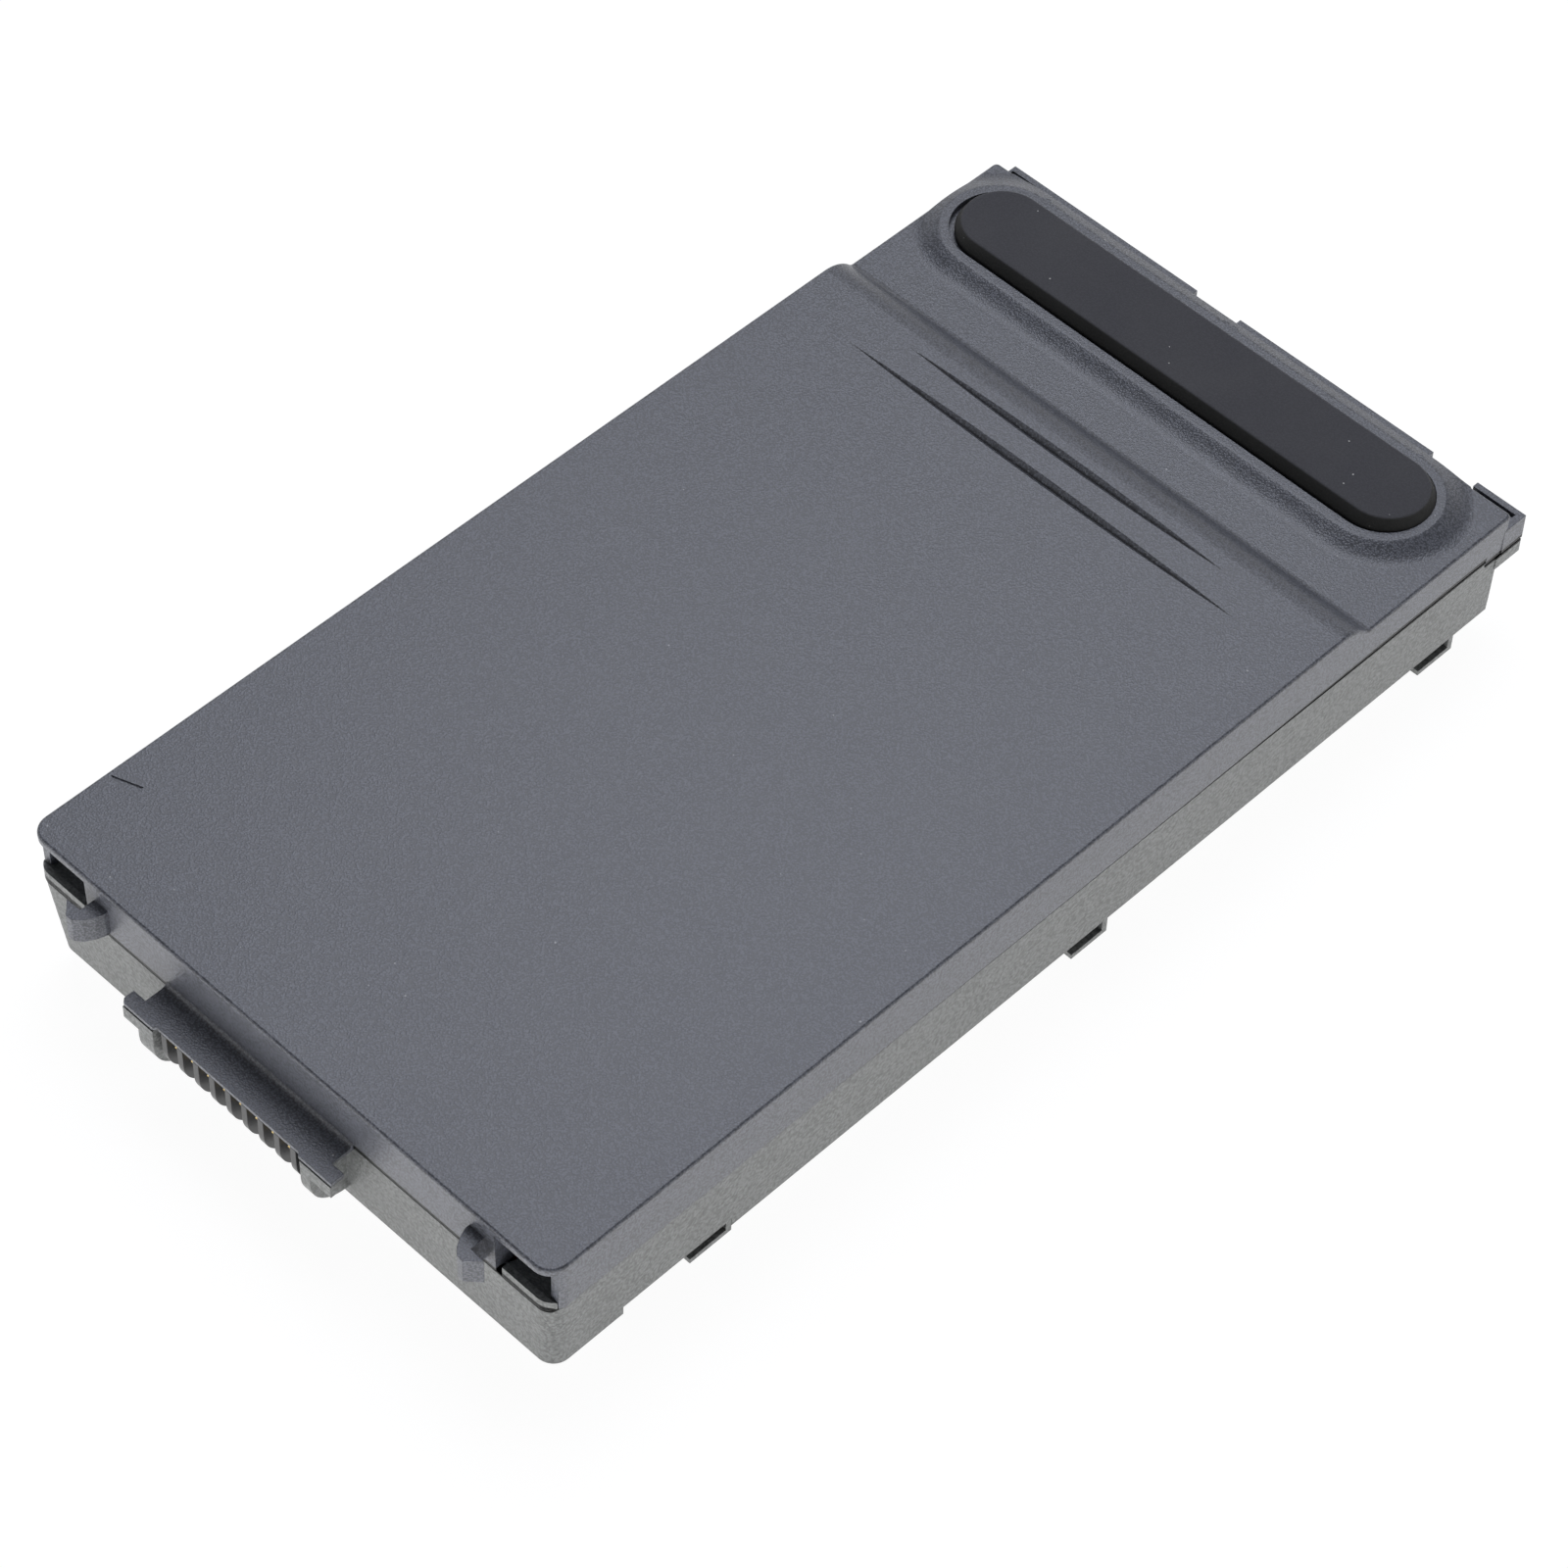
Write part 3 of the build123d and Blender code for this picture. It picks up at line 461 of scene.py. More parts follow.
@dataclass(frozen=True)
class ShellFinish:
    """Moulded plastic with mould grain, rubbed edges, scuffs and dust, and painted shade in the grain's
    creases, along the seam and in the finger grooves.
    """

    name: str
    tone: Colour
    grain: Grain = Grain.LEATHER
    pebble: float = 0.00045
    depth: float = 0.00005
    rough: float = 0.55
    edge: float = 0.00009
    rub: float = 0.6
    specks: float = 0.5
    mottle: float = 0.03
    crease_shade: float = 0.07
    seam: bool = False
    grooves: tuple[tuple[float, float], ...] = ()
    groove_width: float = 0.00034
    seam_depth: float = 0.0002
    patch: float = 0.0024
    speck_gap: float = 0.0022
    speck_share: float = 0.16
    scratch_length: float = 0.014
    scratch_width: float = 0.0001
    scratch: float = 0.10
    uneven: float = 0.012
    ior: float = 1.58

    def material(self) -> bpy.types.Material:
        """Make the plastic's material.

        Returns:
            The new material.
        """
        material, g, shader = start_material(self.name)
        spark = {Grain.LEATHER: 0.35, Grain.SPARK: 0.75, Grain.POLISHED: 1.0}[self.grain]
        grain = Effects.use(g, "mould_grain", pebble_size=self.pebble, spark=spark)
        edge = Effects.use(g, "soft_edge", radius=self.edge, patch_size=self.patch)
        dust = Effects.use(g, "dust", spacing=self.speck_gap, share=self.speck_share)
        scuffs = Effects.use(g, "scuffs", length=self.scratch_length, width=self.scratch_width)
        pale = tuple(min(1.0, c * 1.7 + 0.03) for c in self.tone)
        deep = tuple(c * (1.0 - self.mottle) for c in self.tone)
        high = tuple(c * (1.0 + self.mottle) for c in self.tone)
        colour = g.mix(g.span(grain.outputs["Tone"], 0.3, 0.7), deep, high)
        # Painted shade and light: the colour darkens in the grain's creases and lightens on its pebbles.
        crease_shade = g.span(grain.outputs["Height"], 0.15, 0.75, 1.0 - self.crease_shade, 1.0 + self.crease_shade)
        tint = g.add("ShaderNodeCombineColor")
        for target in tint.inputs:
            g.feed(target, crease_shade)
        colour = g.mix(1.0, colour, tint.outputs[0], "MULTIPLY")
        colour = g.mix(g.sum("MULTIPLY", edge.outputs["Rub"], self.rub), colour, pale)
        colour = g.mix(g.sum("MULTIPLY", scuffs.outputs["Lines"], self.scratch), colour, pale)
        relief = grain.outputs["Height"]
        if self.seam:
            seam = Effects.use(g, "parting_seam_and_shade")
            # Painted shade: the gap between the shells is coloured near black, and its relief is sunk a
            # little.
            colour = g.mix(g.sum("MULTIPLY", seam.outputs["Seam"], 0.96), colour, SEAM_SHADE)
            relief = g.sum("MULTIPLY_ADD", seam.outputs["Seam"], -self.seam_depth / self.depth, relief)
            # Painted shade: full metal on a near-black colour takes most of the reflection off the seam.
            g.feed(shader.inputs["Metallic"], seam.outputs["Seam"])
        # Painted shade: the darkness down in the finger grooves, as a colour a fifth of the plastic's.
        groove_shade_colour = tuple(c * 0.18 for c in self.tone)
        for across, half in self.grooves:
            groove = Effects.use(g, "groove_shade_and_flecks", across=across, half_length=half,
                                 half_width=self.groove_width)
            colour = g.mix(g.sum("MULTIPLY", groove.outputs["Groove Shade"], 0.85), colour, groove_shade_colour)
            colour = g.mix(g.sum("MULTIPLY", groove.outputs["Fleck"], 0.45), colour, FLECK)
        colour = g.mix(g.sum("MULTIPLY", dust.outputs["Specks"], self.specks), colour, DUST)
        g.feed(shader.inputs["Base Color"], colour)
        gloss = g.span(grain.outputs["Tone"], 0.25, 0.75, self.rough - self.uneven,
                       self.rough + self.uneven)
        polished = g.sum("SUBTRACT", gloss, g.sum("MULTIPLY", edge.outputs["Rub"], 0.12))
        g.feed(shader.inputs["Roughness"], polished)
        g.feed(shader.inputs["Normal"], bump(g, relief, self.depth, edge.outputs["Normal"]))
        shader.inputs["IOR"].default_value = self.ior
        return material


@dataclass(frozen=True)
class RubberFinish:
    """Soft matt rubber with a fine tooth, lint and a paler top, partly rubbed wear and partly painted
    sheen.
    """

    name: str
    tone: Colour
    sheen_and_wear: Colour
    crown: float
    tooth: float = 0.00032
    depth: float = 0.00004
    rough: float = 0.72
    sheen_and_wear_from: float = 0.0006
    sheen_and_wear_full: float = 0.0001
    speck_gap: float = 0.0021
    speck_share: float = 0.22
    ior: float = 1.42

    def material(self) -> bpy.types.Material:
        """Make the rubber's material.

        Returns:
            The new material.
        """
        material, g, shader = start_material(self.name)
        grain = Effects.use(g, "mould_grain", pebble_size=self.tooth, spark=0.7)
        dust = Effects.use(g, "dust", spacing=self.speck_gap, share=self.speck_share)
        height = g.add("ShaderNodeSeparateXYZ")
        g.feed(height.inputs[0], g.place())
        facing = g.add("ShaderNodeSeparateXYZ")
        g.feed(facing.inputs[0], g.add("ShaderNodeNewGeometry").outputs["Normal"])
        # Partly rubbed wear, partly painted sheen: the upward-facing top near the crown is paler than the
        # sides.
        upper = g.span(height.outputs[2], self.crown - self.sheen_and_wear_from, self.crown - self.sheen_and_wear_full)
        top_sheen_and_wear = g.sum("MULTIPLY", g.span(facing.outputs[2], 0.55, 0.98), upper)
        cloudy = g.span(grain.outputs["Tone"], 0.2, 0.8, 0.78, 1.0)
        colour = g.mix(g.sum("MULTIPLY", top_sheen_and_wear, cloudy), self.tone, self.sheen_and_wear)
        colour = g.mix(g.span(grain.outputs["Height"], 0.2, 0.8, 0.28, 0.0), colour, self.tone)
        colour = g.mix(g.sum("MULTIPLY", dust.outputs["Specks"], 0.75), colour, LINT)
        g.feed(shader.inputs["Base Color"], colour)
        gloss = g.span(grain.outputs["Tone"], 0.2, 0.8, self.rough - 0.07, self.rough + 0.09)
        g.feed(shader.inputs["Roughness"], gloss)
        g.feed(shader.inputs["Normal"], bump(g, grain.outputs["Height"], self.depth))
        shader.inputs["IOR"].default_value = self.ior
        return material


@dataclass(frozen=True)
class MetalFinish:
    """Rolled or plated metal: fine drawn lines, cloudy tarnish and small stains."""

    name: str
    tone: Colour
    stain: Colour
    rough: float = 0.32
    line: float = 0.00008
    depth: float = 0.00001

    def material(self) -> bpy.types.Material:
        """Make the metal's material.

        Returns:
            The new material.
        """
        material, g, shader = start_material(self.name)
        grain = Effects.use(g, "mould_grain", pebble_size=0.0006, spark=1.0)
        lines = Effects.use(g, "scuffs", length=0.008, width=self.line)
        tarnish = g.span(grain.outputs["Tone"], 0.42, 0.78)
        g.feed(shader.inputs["Base Color"], g.mix(g.sum("MULTIPLY", tarnish, 0.55), self.tone, self.stain))
        gloss = g.sum("MULTIPLY_ADD", tarnish, 0.16, self.rough)
        g.feed(shader.inputs["Roughness"], g.sum("MULTIPLY_ADD", lines.outputs["Lines"], 0.12, gloss))
        pits = g.sum("MULTIPLY_ADD", lines.outputs["Lines"], -0.4, grain.outputs["Height"])
        g.feed(shader.inputs["Normal"], bump(g, pits, self.depth))
        shader.inputs["Metallic"].default_value = 1.0
        return material


@dataclass(frozen=True)
class SleeveFinish:
    """Plain shrunk film on a round cell, with bare plated ends."""

    name: str
    film: Colour
    metal: Colour
    ends: tuple[float, float, float, float]
    waver: float = 0.0005
    depth: float = 0.00003

    def material(self) -> bpy.types.Material:
        """Make the film's material, with bare metal outside the two film runs along X.

        Returns:
            The new material.
        """
        material, g, shader = start_material(self.name)
        grain = Effects.use(g, "mould_grain", pebble_size=0.0011, spark=0.8)
        scuffs = Effects.use(g, "scuffs", length=0.012, width=0.0001)
        along = g.add("ShaderNodeSeparateXYZ")
        g.feed(along.inputs[0], g.place())
        wavy = g.sum("MULTIPLY_ADD", g.noise(g.place(), 0.004, 1.0, 0.5), self.waver, along.outputs[0])
        runs = []
        for low, high in (self.ends[:2], self.ends[2:]):
            begun = g.sum("GREATER_THAN", wavy, low)
            runs.append(g.sum("MULTIPLY", begun, g.sum("LESS_THAN", wavy, high)))
        film = g.sum("MAXIMUM", *runs)
        side = g.add("ShaderNodeSeparateXYZ")
        g.feed(side.inputs[0], g.add("ShaderNodeNewGeometry").outputs["Normal"])
        film = g.sum("MULTIPLY", film, g.sum("LESS_THAN", g.sum("ABSOLUTE", side.outputs[0]), 0.6))
        deep = tuple(c * 0.86 for c in self.film)
        dull = tuple(c * 0.72 for c in self.metal)
        cloudy = g.mix(g.span(grain.outputs["Tone"], 0.3, 0.7), deep, self.film)
        cloudy = g.mix(g.sum("MULTIPLY", scuffs.outputs["Lines"], 0.25), cloudy, SCRATCHED_FILM)
        plate = g.mix(g.span(grain.outputs["Tone"], 0.35, 0.75), self.metal, dull)
        g.feed(shader.inputs["Base Color"], g.mix(film, plate, cloudy))
        g.feed(shader.inputs["Metallic"], g.sum("SUBTRACT", 1.0, film))
        g.feed(shader.inputs["Roughness"], g.span(grain.outputs["Height"], 0.2, 0.8, 0.24, 0.38))
        raised = g.sum("ADD", grain.outputs["Height"], film)
        g.feed(shader.inputs["Normal"], bump(g, raised, self.depth))
        return material


@dataclass(frozen=True)
class SheetFinish:
    """Thin sheet: fibrous paper, open foam or cloudy adhesive film."""

    name: str
    tone: Colour
    kind: Sheet

    def material(self) -> bpy.types.Material:
        """Make the sheet's material.

        Returns:
            The new material.
        """
        material, g, shader = start_material(self.name)
        size, depth, spark = {
            Sheet.PAPER: (0.0009, 0.00004, 0.9),
            Sheet.FOAM: (0.0006, 0.00016, 0.15),
            Sheet.ADHESIVE: (0.0016, 0.00003, 0.8),
        }[self.kind]
        grain = Effects.use(g, "mould_grain", pebble_size=size, spark=spark)
        fibres = Effects.use(g, "scuffs", length=0.004, width=0.0002)
        low = tuple(c * 0.72 for c in self.tone)
        high = tuple(min(1.0, c * 1.12) for c in self.tone)
        colour = g.mix(g.span(grain.outputs["Height"], 0.2, 0.8), low, self.tone)
        colour = g.mix(g.sum("MULTIPLY", fibres.outputs["Lines"], 0.5), colour, high)
        colour = g.mix(g.span(grain.outputs["Tone"], 0.5, 0.8, 0.0, 0.4), colour, low)
        g.feed(shader.inputs["Base Color"], colour)
        rough = 0.45 if self.kind is Sheet.ADHESIVE else 0.85
        gloss = g.span(grain.outputs["Tone"], 0.2, 0.8, rough - 0.08, rough + 0.08)
        g.feed(shader.inputs["Roughness"], gloss)
        g.feed(shader.inputs["Normal"], bump(g, grain.outputs["Height"], depth))
        return material


@dataclass(frozen=True)
class BoardFinish:
    """Solder mask over copper tracks, with plated holes in a staggered field."""

    name: str
    mask: Colour
    track: Colour
    pitch: float = 0.0016
    hole_gap: float = 0.0042
    depth: float = 0.00004

    def material(self) -> bpy.types.Material:
        """Make the board's material from tracks along Y, joined by short runs along Z.

        Returns:
            The new material.
        """
        material, g, shader = start_material(self.name)
        grain = Effects.use(g, "mould_grain", pebble_size=0.0005, spark=1.0)
        where = g.place()
        turned = g.add("ShaderNodeMapping", vector_type="POINT")
        turned.inputs["Rotation"].default_value = (0.0, math.radians(90.0), math.radians(90.0))
        g.feed(turned.inputs["Vector"], where)
        lanes = g.add("ShaderNodeTexBrick", offset=0.37, squash=1.0)
        g.feed(lanes.inputs["Vector"], turned.outputs[0])
        g.feed(lanes.inputs["Scale"], 1.0)
        g.feed(lanes.inputs["Mortar Size"], self.pitch * 0.16)
        g.feed(lanes.inputs["Mortar Smooth"], 0.1)
        g.feed(lanes.inputs["Brick Width"], self.pitch * 5.3)
        g.feed(lanes.inputs["Row Height"], self.pitch)
        line = lanes.outputs["Fac"]
        holes = g.add("ShaderNodeTexVoronoi")
        g.feed(holes.inputs["Vector"], where)
        g.feed(holes.inputs["Scale"], 1.0 / self.hole_gap)
        ring = g.sum("LESS_THAN", holes.outputs["Distance"], 0.11)
        deep = tuple(c * 0.8 for c in self.mask)
        colour = g.mix(g.span(grain.outputs["Tone"], 0.3, 0.7), deep, self.mask)
        colour = g.mix(g.sum("MULTIPLY", line, 0.75), colour, self.track)
        colour = g.mix(ring, colour, TINNED)
        g.feed(shader.inputs["Base Color"], colour)
        g.feed(shader.inputs["Metallic"], g.sum("MULTIPLY", ring, 0.9))
        g.feed(shader.inputs["Roughness"], g.span(grain.outputs["Tone"], 0.2, 0.8, 0.26, 0.42))
        raised = g.sum("ADD", line, g.sum("MULTIPLY", grain.outputs["Height"], 0.2))
        g.feed(shader.inputs["Normal"], bump(g, raised, self.depth))
        return material


def wear(node: bpy.types.Object, material: bpy.types.Material) -> None:
    """Put one material on every slot of an object."""
    if not node.material_slots:
        node.data.materials.append(material)
    for place in node.material_slots:
        place.material = material


def grid_mesh(name: str, points: np.ndarray, material: bpy.types.Material) -> bpy.types.Object:
    """Make a closed smooth piece from rings of points.

    The grid is (rings, steps, 3). Steps close round each ring, and equal points are merged, so
    rings that fold onto a line or a point close the surface.

    Args:
        name: Name of the piece.
        points: Grid of points in metres.
        material: Material of the piece.

    Returns:
        The new object, at the origin.
    """
    rings, steps = points.shape[:2]
    index = np.arange(rings * steps).reshape(rings, steps)
    after = np.roll(index, -1, axis=1)
    quads = np.stack([index[:-1], after[:-1], after[1:], index[1:]], axis=-1).reshape(-1, 4)
    mesh = bpy.data.meshes.new(name)
    mesh.from_pydata(points.reshape(-1, 3).tolist(), [], quads.tolist())
    made = bmesh.new()
    made.from_mesh(mesh)
    bmesh.ops.remove_doubles(made, verts=made.verts, dist=1e-7)
    bmesh.ops.recalc_face_normals(made, faces=made.faces)
    made.to_mesh(mesh)
    made.free()
    mesh.polygons.foreach_set("use_smooth", np.ones(len(mesh.polygons), bool))
    mesh.materials.append(material)
    piece = bpy.data.objects.new(name, mesh)
    bpy.context.scene.collection.objects.link(piece)
    return piece


@dataclass
class RubberFoot:
    """Long rubber foot that stands in the collar at the foot end."""

    taper: float = math.radians(23.0)
    edge_round: float = 0.42 * MM
    crown: float = 0.05 * MM
    shoulder: float = 0.9 * MM
    bend_rings: int = 9
    lid_rings: int = 12
    base_rings: int = 8
    finish: RubberFinish = RubberFinish("foot_rubber", (0.0205, 0.0208, 0.0205), (0.068, 0.068, 0.079),
                                        22.4 * MM)

    def surface(self, steps: int = 192) -> np.ndarray:
        """Rings of the foot's surface.

        A ring is a stadium: a circle of radius r, whose halves are moved apart along Y by the
        straight half-length h, so p = centre + r (cos a, sin a) + (0, h sign(sin a)). Rings go up
        the straight side, in along the taper, round the top edge on an arc and across the top,
        where the crown falls as the square of the distance from the spine.

        Args:
            steps: Points round each ring.

        Returns:
            Grid of points (rings, steps, 3).
        """
        low, high = (np.array(corner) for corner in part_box("rubber_foot"))
        centre = (low + high) / 2.0
        radius = (high[0] - low[0]) / 2.0
        half = (high[1] - low[1]) / 2.0 - radius
        rise = high[2] - low[2] - self.shoulder
        top_radius = radius - rise * math.tan(self.taper)
        turn = np.linspace(0.0, math.pi / 2.0 - self.taper, self.bend_rings) + self.taper
        bend = np.stack([top_radius - self.edge_round * (1.0 - np.cos(turn)),
                         high[2] - self.crown - self.edge_round * (1.0 - np.sin(turn))], axis=1)
        across = np.linspace(1.0, 0.0, self.lid_rings)[1:, None]
        lid = np.concatenate([bend[-1, 0] * across, high[2] - self.crown * across ** 2], axis=1)
        base = np.linspace(0.0, 1.0, self.base_rings)[:-1, None]
        under = np.concatenate([radius * base, np.full_like(base, low[2])], axis=1)
        side = np.array([[radius, low[2] + self.shoulder * share] for share in (0.0, 0.5, 1.0)])
        rings = np.concatenate([under, side, bend, lid])
        angle = np.linspace(0.0, 2.0 * math.pi, steps, endpoint=False) + math.pi / steps
        shape = np.zeros((len(rings), steps, 3))
        shape[..., 0] = centre[0] + rings[:, :1] * np.cos(angle)
        shape[..., 1] = centre[1] + rings[:, :1] * np.sin(angle) + half * np.sign(np.sin(angle))
        shape[..., 2] = rings[:, 1:]
        return shape

    def build(self) -> bpy.types.Object:
        """Make the foot in place of its plain solid.

        Returns:
            The finished piece.
        """
        piece = grid_mesh("foot_pad", self.surface(), self.finish.material())
        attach(piece, "root")
        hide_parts("rubber_foot")
        return piece


@dataclass
class CaseShells:
    """Top cover with a fine leather grain, and lower case with a coarser spark grain."""

    cover: ShellFinish = ShellFinish("cover_plastic", (0.081, 0.086, 0.104), Grain.LEATHER, 0.00027,
                                     0.000027, rough=0.33, crease_shade=0.38, seam=True,
                                     grooves=((0.04485, 0.0335), (0.0498, 0.0272)))
    case: ShellFinish = ShellFinish("case_plastic", (0.114, 0.120, 0.121), Grain.SPARK, 0.00048, 0.00010,
                                    rough=0.38, crease_shade=0.50, seam=True)

    def dress(self, nodes: Nodes) -> list[str]:
        """Give both shells their plastic.

        Args:
            nodes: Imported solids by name.

        Returns:
            Names of the dressed solids.
        """
        wear(nodes["top_cover"], self.cover.material())
        wear(nodes["lower_case"], self.case.material())
        return ["top_cover", "lower_case"]


@dataclass
class Connector:
    """Finned connector housing and its spring contacts."""

    housing: ShellFinish = ShellFinish("connector_plastic", (0.016, 0.0165, 0.018), Grain.POLISHED, 0.0004,
                                       0.000012, rough=0.30, edge=0.00012, rub=0.5, specks=0.35, mottle=0.2)
    contact: MetalFinish = MetalFinish("contact_plate", (0.86, 0.66, 0.30), (0.55, 0.38, 0.17), 0.24)
    contacts: int = 8

    def dress(self, nodes: Nodes) -> list[str]:
        """Give the housing and contacts their finishes.

        Args:
            nodes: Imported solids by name.

        Returns:
            Names of the dressed solids.
        """
        wear(nodes["connector_housing"], self.housing.material())
        plated = self.contact.material()
        names = [f"contact_{i}" for i in range(1, self.contacts + 1)]
        for name in names:
            wear(nodes[name], plated)
        return ["connector_housing", *names]


@dataclass
class CellBlock:
    """Eight round cells with their straps, papers, adhesive and foam."""

    cells: int = 8
    film: Colour = (0.030, 0.135, 0.085)
    can: Colour = (0.62, 0.62, 0.61)
    bare: float = 0.9 * MM
    nickel: MetalFinish = MetalFinish("nickel_strip", (0.68, 0.66, 0.61), (0.42, 0.40, 0.36), 0.28)
    paper: SheetFinish = SheetFinish("barley_paper", (0.34, 0.38, 0.33), Sheet.PAPER)
    adhesive: SheetFinish = SheetFinish("adhesive_film", (0.55, 0.53, 0.47), Sheet.ADHESIVE)
    foam: SheetFinish = SheetFinish("foam_strip", (0.045, 0.046, 0.05), Sheet.FOAM)
    straps: tuple[str, ...] = ("positive", "negative", "mid_left", "mid_right", "foot")

    def dress(self, nodes: Nodes) -> list[str]:
        """Give the cells and what holds them their finishes.

        Args:
            nodes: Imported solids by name.

        Returns:
            Names of the dressed solids.
        """
        cells = [f"cell_{i}" for i in range(1, self.cells + 1)]
        spans = sorted({(round(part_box(c)[0].x, 6), round(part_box(c)[1].x, 6)) for c in cells})
        near, far = spans[0], spans[-1]
        ends = (near[0] + self.bare, near[1] - self.bare, far[0] + self.bare, far[1] - self.bare)
        groups = {
            SleeveFinish("cell_sleeve", self.film, self.can, ends): cells,
            self.nickel: [f"strap_{s}" for s in self.straps],
            self.paper: ["paper_connector", "paper_foot"],
            self.adhesive: ["cell_tape_1", "cell_tape_2", "foot_tape"],
            self.foam: ["foam_strip_1", "foam_strip_2"],
        }
        for finish, names in groups.items():
            material = finish.material()
            for name in names:
                wear(nodes[name], material)
        return [name for names in groups.values() for name in names]


@dataclass
class ControlBoard:
    """Circuit board with its chips, fuse, thermistor and sense leads."""

    board: BoardFinish = BoardFinish("board_mask", (0.012, 0.105, 0.048), (0.035, 0.20, 0.085))
    chip: ShellFinish = ShellFinish("chip_epoxy", (0.018, 0.018, 0.02), Grain.SPARK, 0.00022, 0.00001,
                                    rough=0.5, edge=0.00008, rub=0.3, specks=0.2)
    fuse: ShellFinish = ShellFinish("fuse_ceramic", (0.66, 0.64, 0.58), Grain.SPARK, 0.0003, 0.00001,
                                    rough=0.4, edge=0.0001, rub=0.2, specks=0.1)
    lead: ShellFinish = ShellFinish("lead_sleeve", (0.46, 0.035, 0.026), Grain.POLISHED, 0.0006, 0.00001,
                                    rough=0.34, edge=0.0001, rub=0.1, specks=0.2)
    bead: ShellFinish = ShellFinish("thermistor_bead", (0.020, 0.020, 0.022), Grain.POLISHED, 0.0005,
                                    0.00001, rough=0.26, edge=0.0001, rub=0.1, specks=0.2)
    groups: dict[str, tuple[str, ...]] = field(default_factory=lambda: {
        "board": ("circuit_board",),
        "chip": ("gauge_chip", "guard_chip", "transistor_1", "transistor_2", "sense_resistor"),
        "fuse": ("fuse",),
        "lead": ("lead_mid_left", "lead_mid_right", "lead_foot"),
        "bead": ("thermistor",),
    })

    def dress(self, nodes: Nodes) -> list[str]:
        """Give the board and what it carries their finishes.

        Args:
            nodes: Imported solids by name.

        Returns:
            Names of the dressed solids.
        """
        for field_name, names in self.groups.items():
            material = getattr(self, field_name).material()
            for name in names:
                wear(nodes[name], material)
        return [name for names in self.groups.values() for name in names]


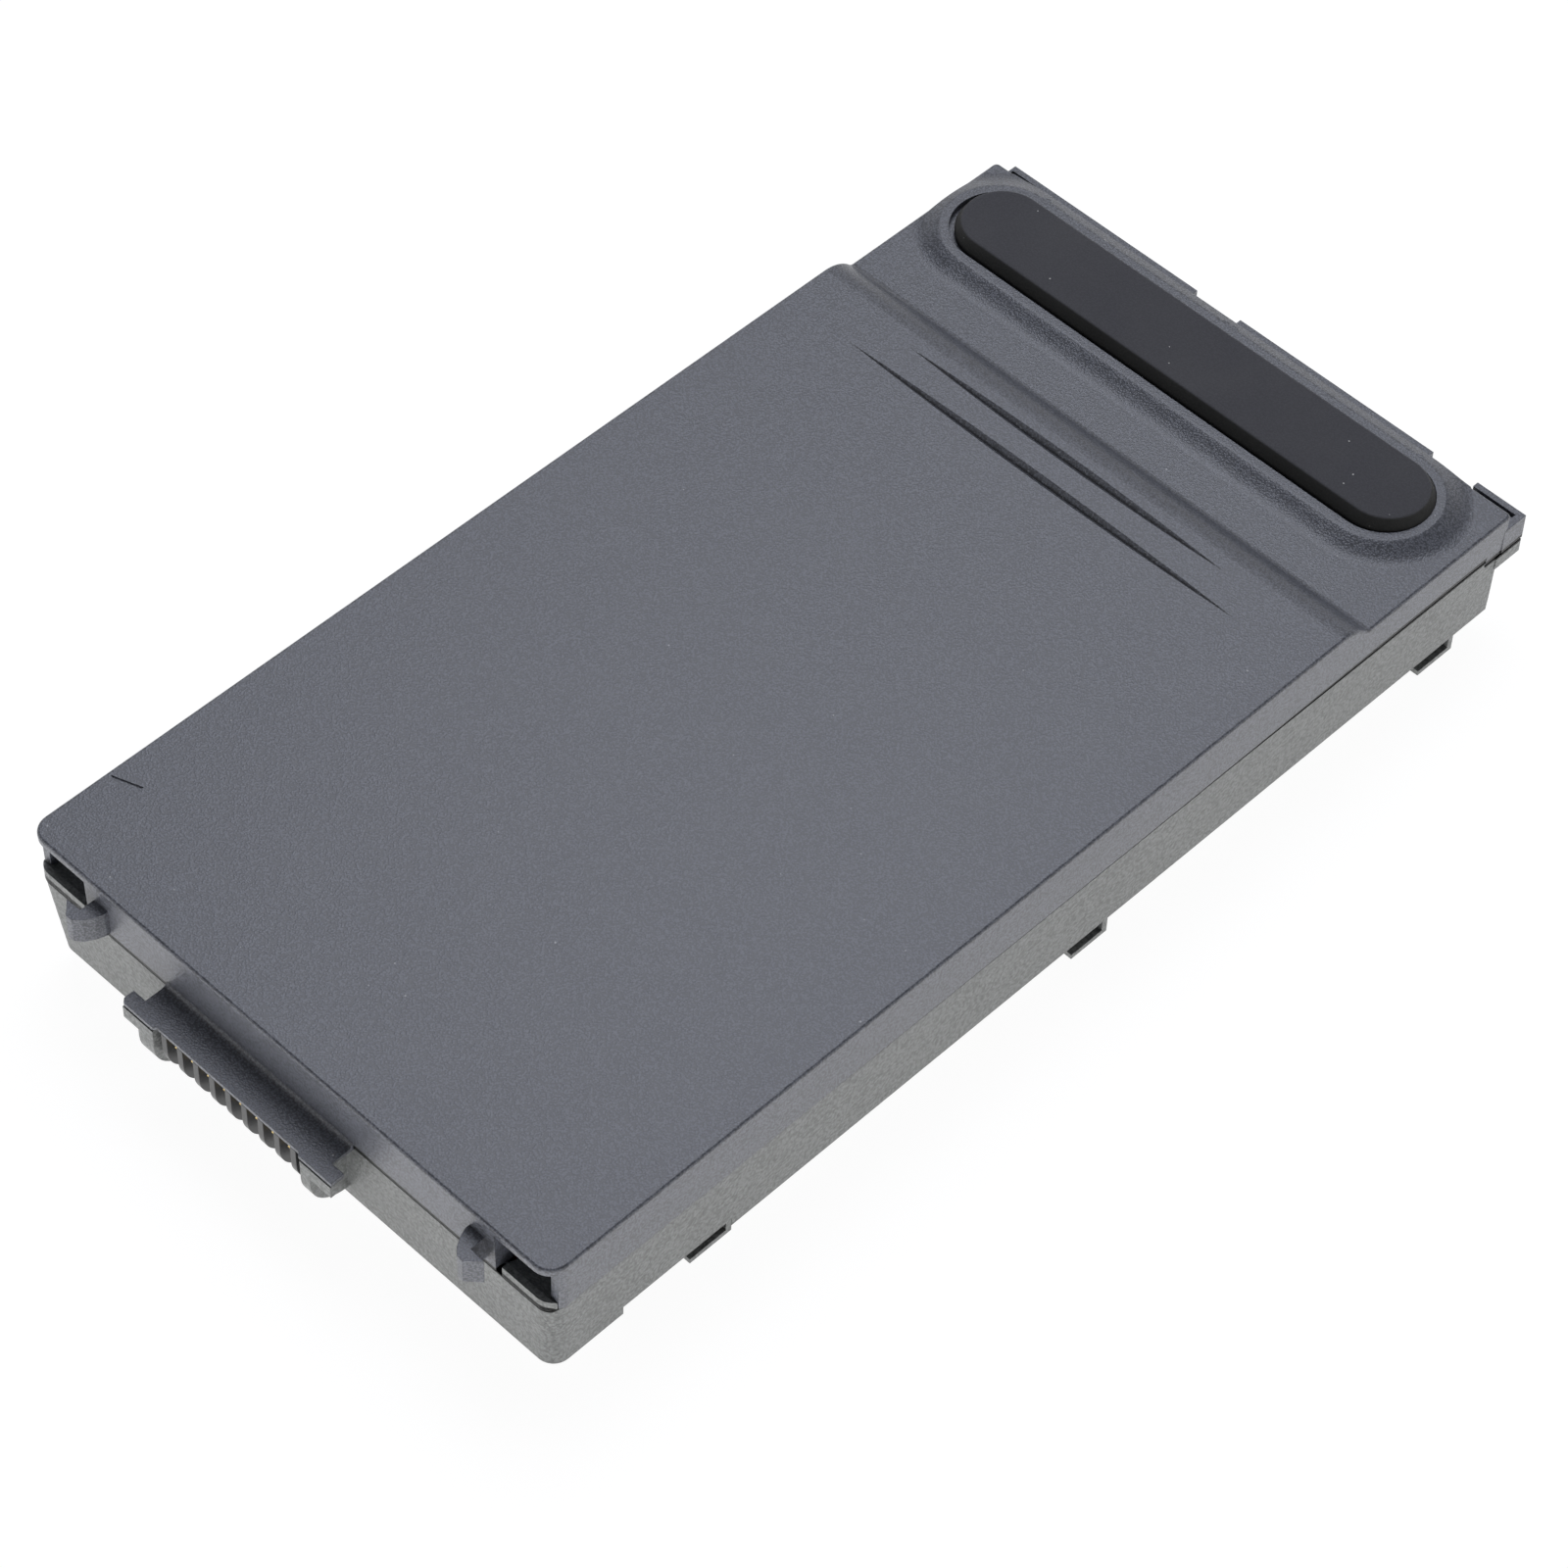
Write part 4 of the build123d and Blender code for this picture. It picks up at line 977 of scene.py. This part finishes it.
@dataclass
class Studio:
    """White floor and backdrop, soft light and the camera at the photograph's angle."""

    eye: Colour = (-0.2938, -0.2747, 0.4864)
    right: Colour = (0.7033, -0.7105, 0.0232)
    down: Colour = (-0.5380, -0.5533, -0.6360)
    forward: Colour = (0.4647, 0.4348, -0.7713)
    lens: float = 115.08
    sensor: float = 36.0
    floor_size: float = 3.4
    floor_gap: float = 0.00002
    floor_rings: int = 32
    floor_steps: int = 64
    level: float = 1.7
    rise: float = 1.0
    paint: Colour = (0.85, 0.85, 0.85)
    white: float = 0.94
    shade: float = 0.13
    sky: float = 0.10
    horizon: float = 0.85
    sky_band: tuple[float, float] = (0.42, 0.72)
    table_glow: float = 1.6
    end_glow: float = 1.9
    end_run: tuple[float, float] = (0.07, 0.16)
    glow_reach: float = 0.6
    back_at: Colour = (0.43, 0.36, 1.0)
    back_size: float = 0.80
    back_power: float = 6.6
    warm: Colour = (1.0, 0.985, 0.95)
    cool: Colour = (0.87, 0.90, 1.0)

    def floor(self) -> bpy.types.Object:
        """White floor that curves up into a backdrop, looks white and keeps a soft shadow. To other rays it
        glows as painted light from below, brighter beyond both ends.

        The floor is a dish on a grid of radius and angle: level to the middle radius, then rising
        as the square of the distance beyond it.

        Returns:
            The floor object.
        """
        radius = np.linspace(0.0, 1.0, self.floor_rings) ** 1.5 * self.floor_size
        angle = np.linspace(0.0, 2.0 * math.pi, self.floor_steps, endpoint=False)
        beyond = np.clip((radius - self.level) / (self.floor_size - self.level), 0.0, 1.0)
        points = np.zeros((self.floor_rings, self.floor_steps, 3))
        points[..., 0] = radius[:, None] * np.cos(angle)
        points[..., 1] = radius[:, None] * np.sin(angle)
        points[..., 2] = self.rise * beyond[:, None] ** 2 - self.floor_gap
        material = bpy.data.materials.new("floor_white")
        material.use_nodes = True
        material.node_tree.nodes.clear()
        g = Graph(material.node_tree)
        path = g.add("ShaderNodeLightPath")
        mirrored = g.sum("MAXIMUM", path.outputs["Is Glossy Ray"], path.outputs["Is Transmission Ray"])
        seen = g.sum("MAXIMUM", path.outputs["Is Camera Ray"], mirrored)
        paint = g.add("ShaderNodeBsdfDiffuse")
        g.feed(paint.inputs["Color"], g.mix(seen, self.paint, (self.shade, self.shade, self.shade)))
        where = g.place()
        along = g.add("ShaderNodeSeparateXYZ")
        g.feed(along.inputs[0], where)
        # Painted light: the floor glows on the object from below, most beyond both ends of the pack, and
        # fades with distance; camera and reflection rays don't see this glow.
        ends = g.span(g.sum("ABSOLUTE", along.outputs[0]), *self.end_run, self.table_glow,
                      self.table_glow + self.end_glow)
        reach = g.add("ShaderNodeVectorMath", operation="LENGTH")
        g.feed(reach.inputs[0], where)
        fading = g.span(reach.outputs["Value"], self.glow_reach, self.level, 1.0, 0.0)
        glowing = g.sum("MULTIPLY", ends, fading)
        glow = g.add("ShaderNodeEmission")
        unseen = g.sum("MULTIPLY", glowing, g.sum("SUBTRACT", 1.0, seen))
        g.feed(glow.inputs["Color"], g.mix(seen, self.warm, WHITE))
        g.feed(glow.inputs["Strength"], g.sum("ADD", unseen, g.sum("MULTIPLY", seen, self.white)))
        both = g.add("ShaderNodeAddShader")
        g.feed(both.inputs[0], paint.outputs[0])
        g.feed(both.inputs[1], glow.outputs[0])
        g.feed(g.add("ShaderNodeOutputMaterial").inputs["Surface"], both.outputs[0])
        ground = grid_mesh("floor", points, material)
        return ground

    def world(self) -> None:
        """Pale surroundings near the floor, darker overhead."""
        sky = bpy.data.worlds.new("studio_sky")
        sky.use_nodes = True
        sky.node_tree.nodes.clear()
        g = Graph(sky.node_tree)
        lift = g.add("ShaderNodeSeparateXYZ")
        g.feed(lift.inputs[0], g.add("ShaderNodeTexCoord").outputs["Generated"])
        back = g.add("ShaderNodeBackground")
        g.feed(back.inputs["Strength"], g.span(lift.outputs[2], *self.sky_band, self.horizon, self.sky))
        g.feed(g.add("ShaderNodeOutputWorld").inputs["Surface"], back.outputs[0])
        bpy.context.scene.world = sky

    def lamp(self, name: str, at: Colour, size: float, power: float, tint: Colour) -> bpy.types.Object:
        """Soft square lamp that faces the object.

        Args:
            name: Name of the lamp.
            at: Its place in metres.
            size: Side of its square in metres.
            power: Power in watts.
            tint: Colour of its light.

        Returns:
            The lamp object.
        """
        light = bpy.data.lights.new(name, "AREA")
        light.size = size
        light.energy = power
        light.color = tint
        lamp = bpy.data.objects.new(name, light)
        lamp.location = at
        lamp.rotation_euler = Vector(at).to_track_quat("Z", "Y").to_euler()
        bpy.context.scene.collection.objects.link(lamp)
        return lamp

    def camera(self) -> bpy.types.Object:
        """Camera with the photograph's place and lens.

        Returns:
            The camera object.
        """
        optics = bpy.data.cameras.new("camera")
        optics.lens = self.lens
        optics.sensor_width = self.sensor
        optics.clip_start = 0.01
        camera = bpy.data.objects.new("camera", optics)
        axes = np.array([self.right, [-c for c in self.down], [-c for c in self.forward], self.eye]).T
        camera.matrix_world = Matrix([*axes.tolist(), [0.0, 0.0, 0.0, 1.0]])
        bpy.context.scene.collection.objects.link(camera)
        bpy.context.scene.camera = camera
        return camera

    def build(self) -> None:
        """Set up camera, floor, world, lamp and view."""
        self.camera()
        self.floor()
        self.world()
        self.lamp("back_box", self.back_at, self.back_size, self.back_power, self.cool)
        bpy.context.scene.view_settings.view_transform = "Standard"


def main() -> None:
    """Load the frame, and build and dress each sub-assembly."""
    logging.basicConfig(level=logging.INFO, format="%(name)s %(message)s")
    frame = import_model()
    nodes: Nodes = frame["nodes"]
    Studio().build()
    LOG.info("studio ready")
    for part in (CaseShells(), Connector(), CellBlock(), ControlBoard()):
        for name in part.dress(nodes):
            LOG.info("dressed %s", name)
    LOG.info("built %s", RubberFoot().build().name)


if __name__ == "__main__":
    main()
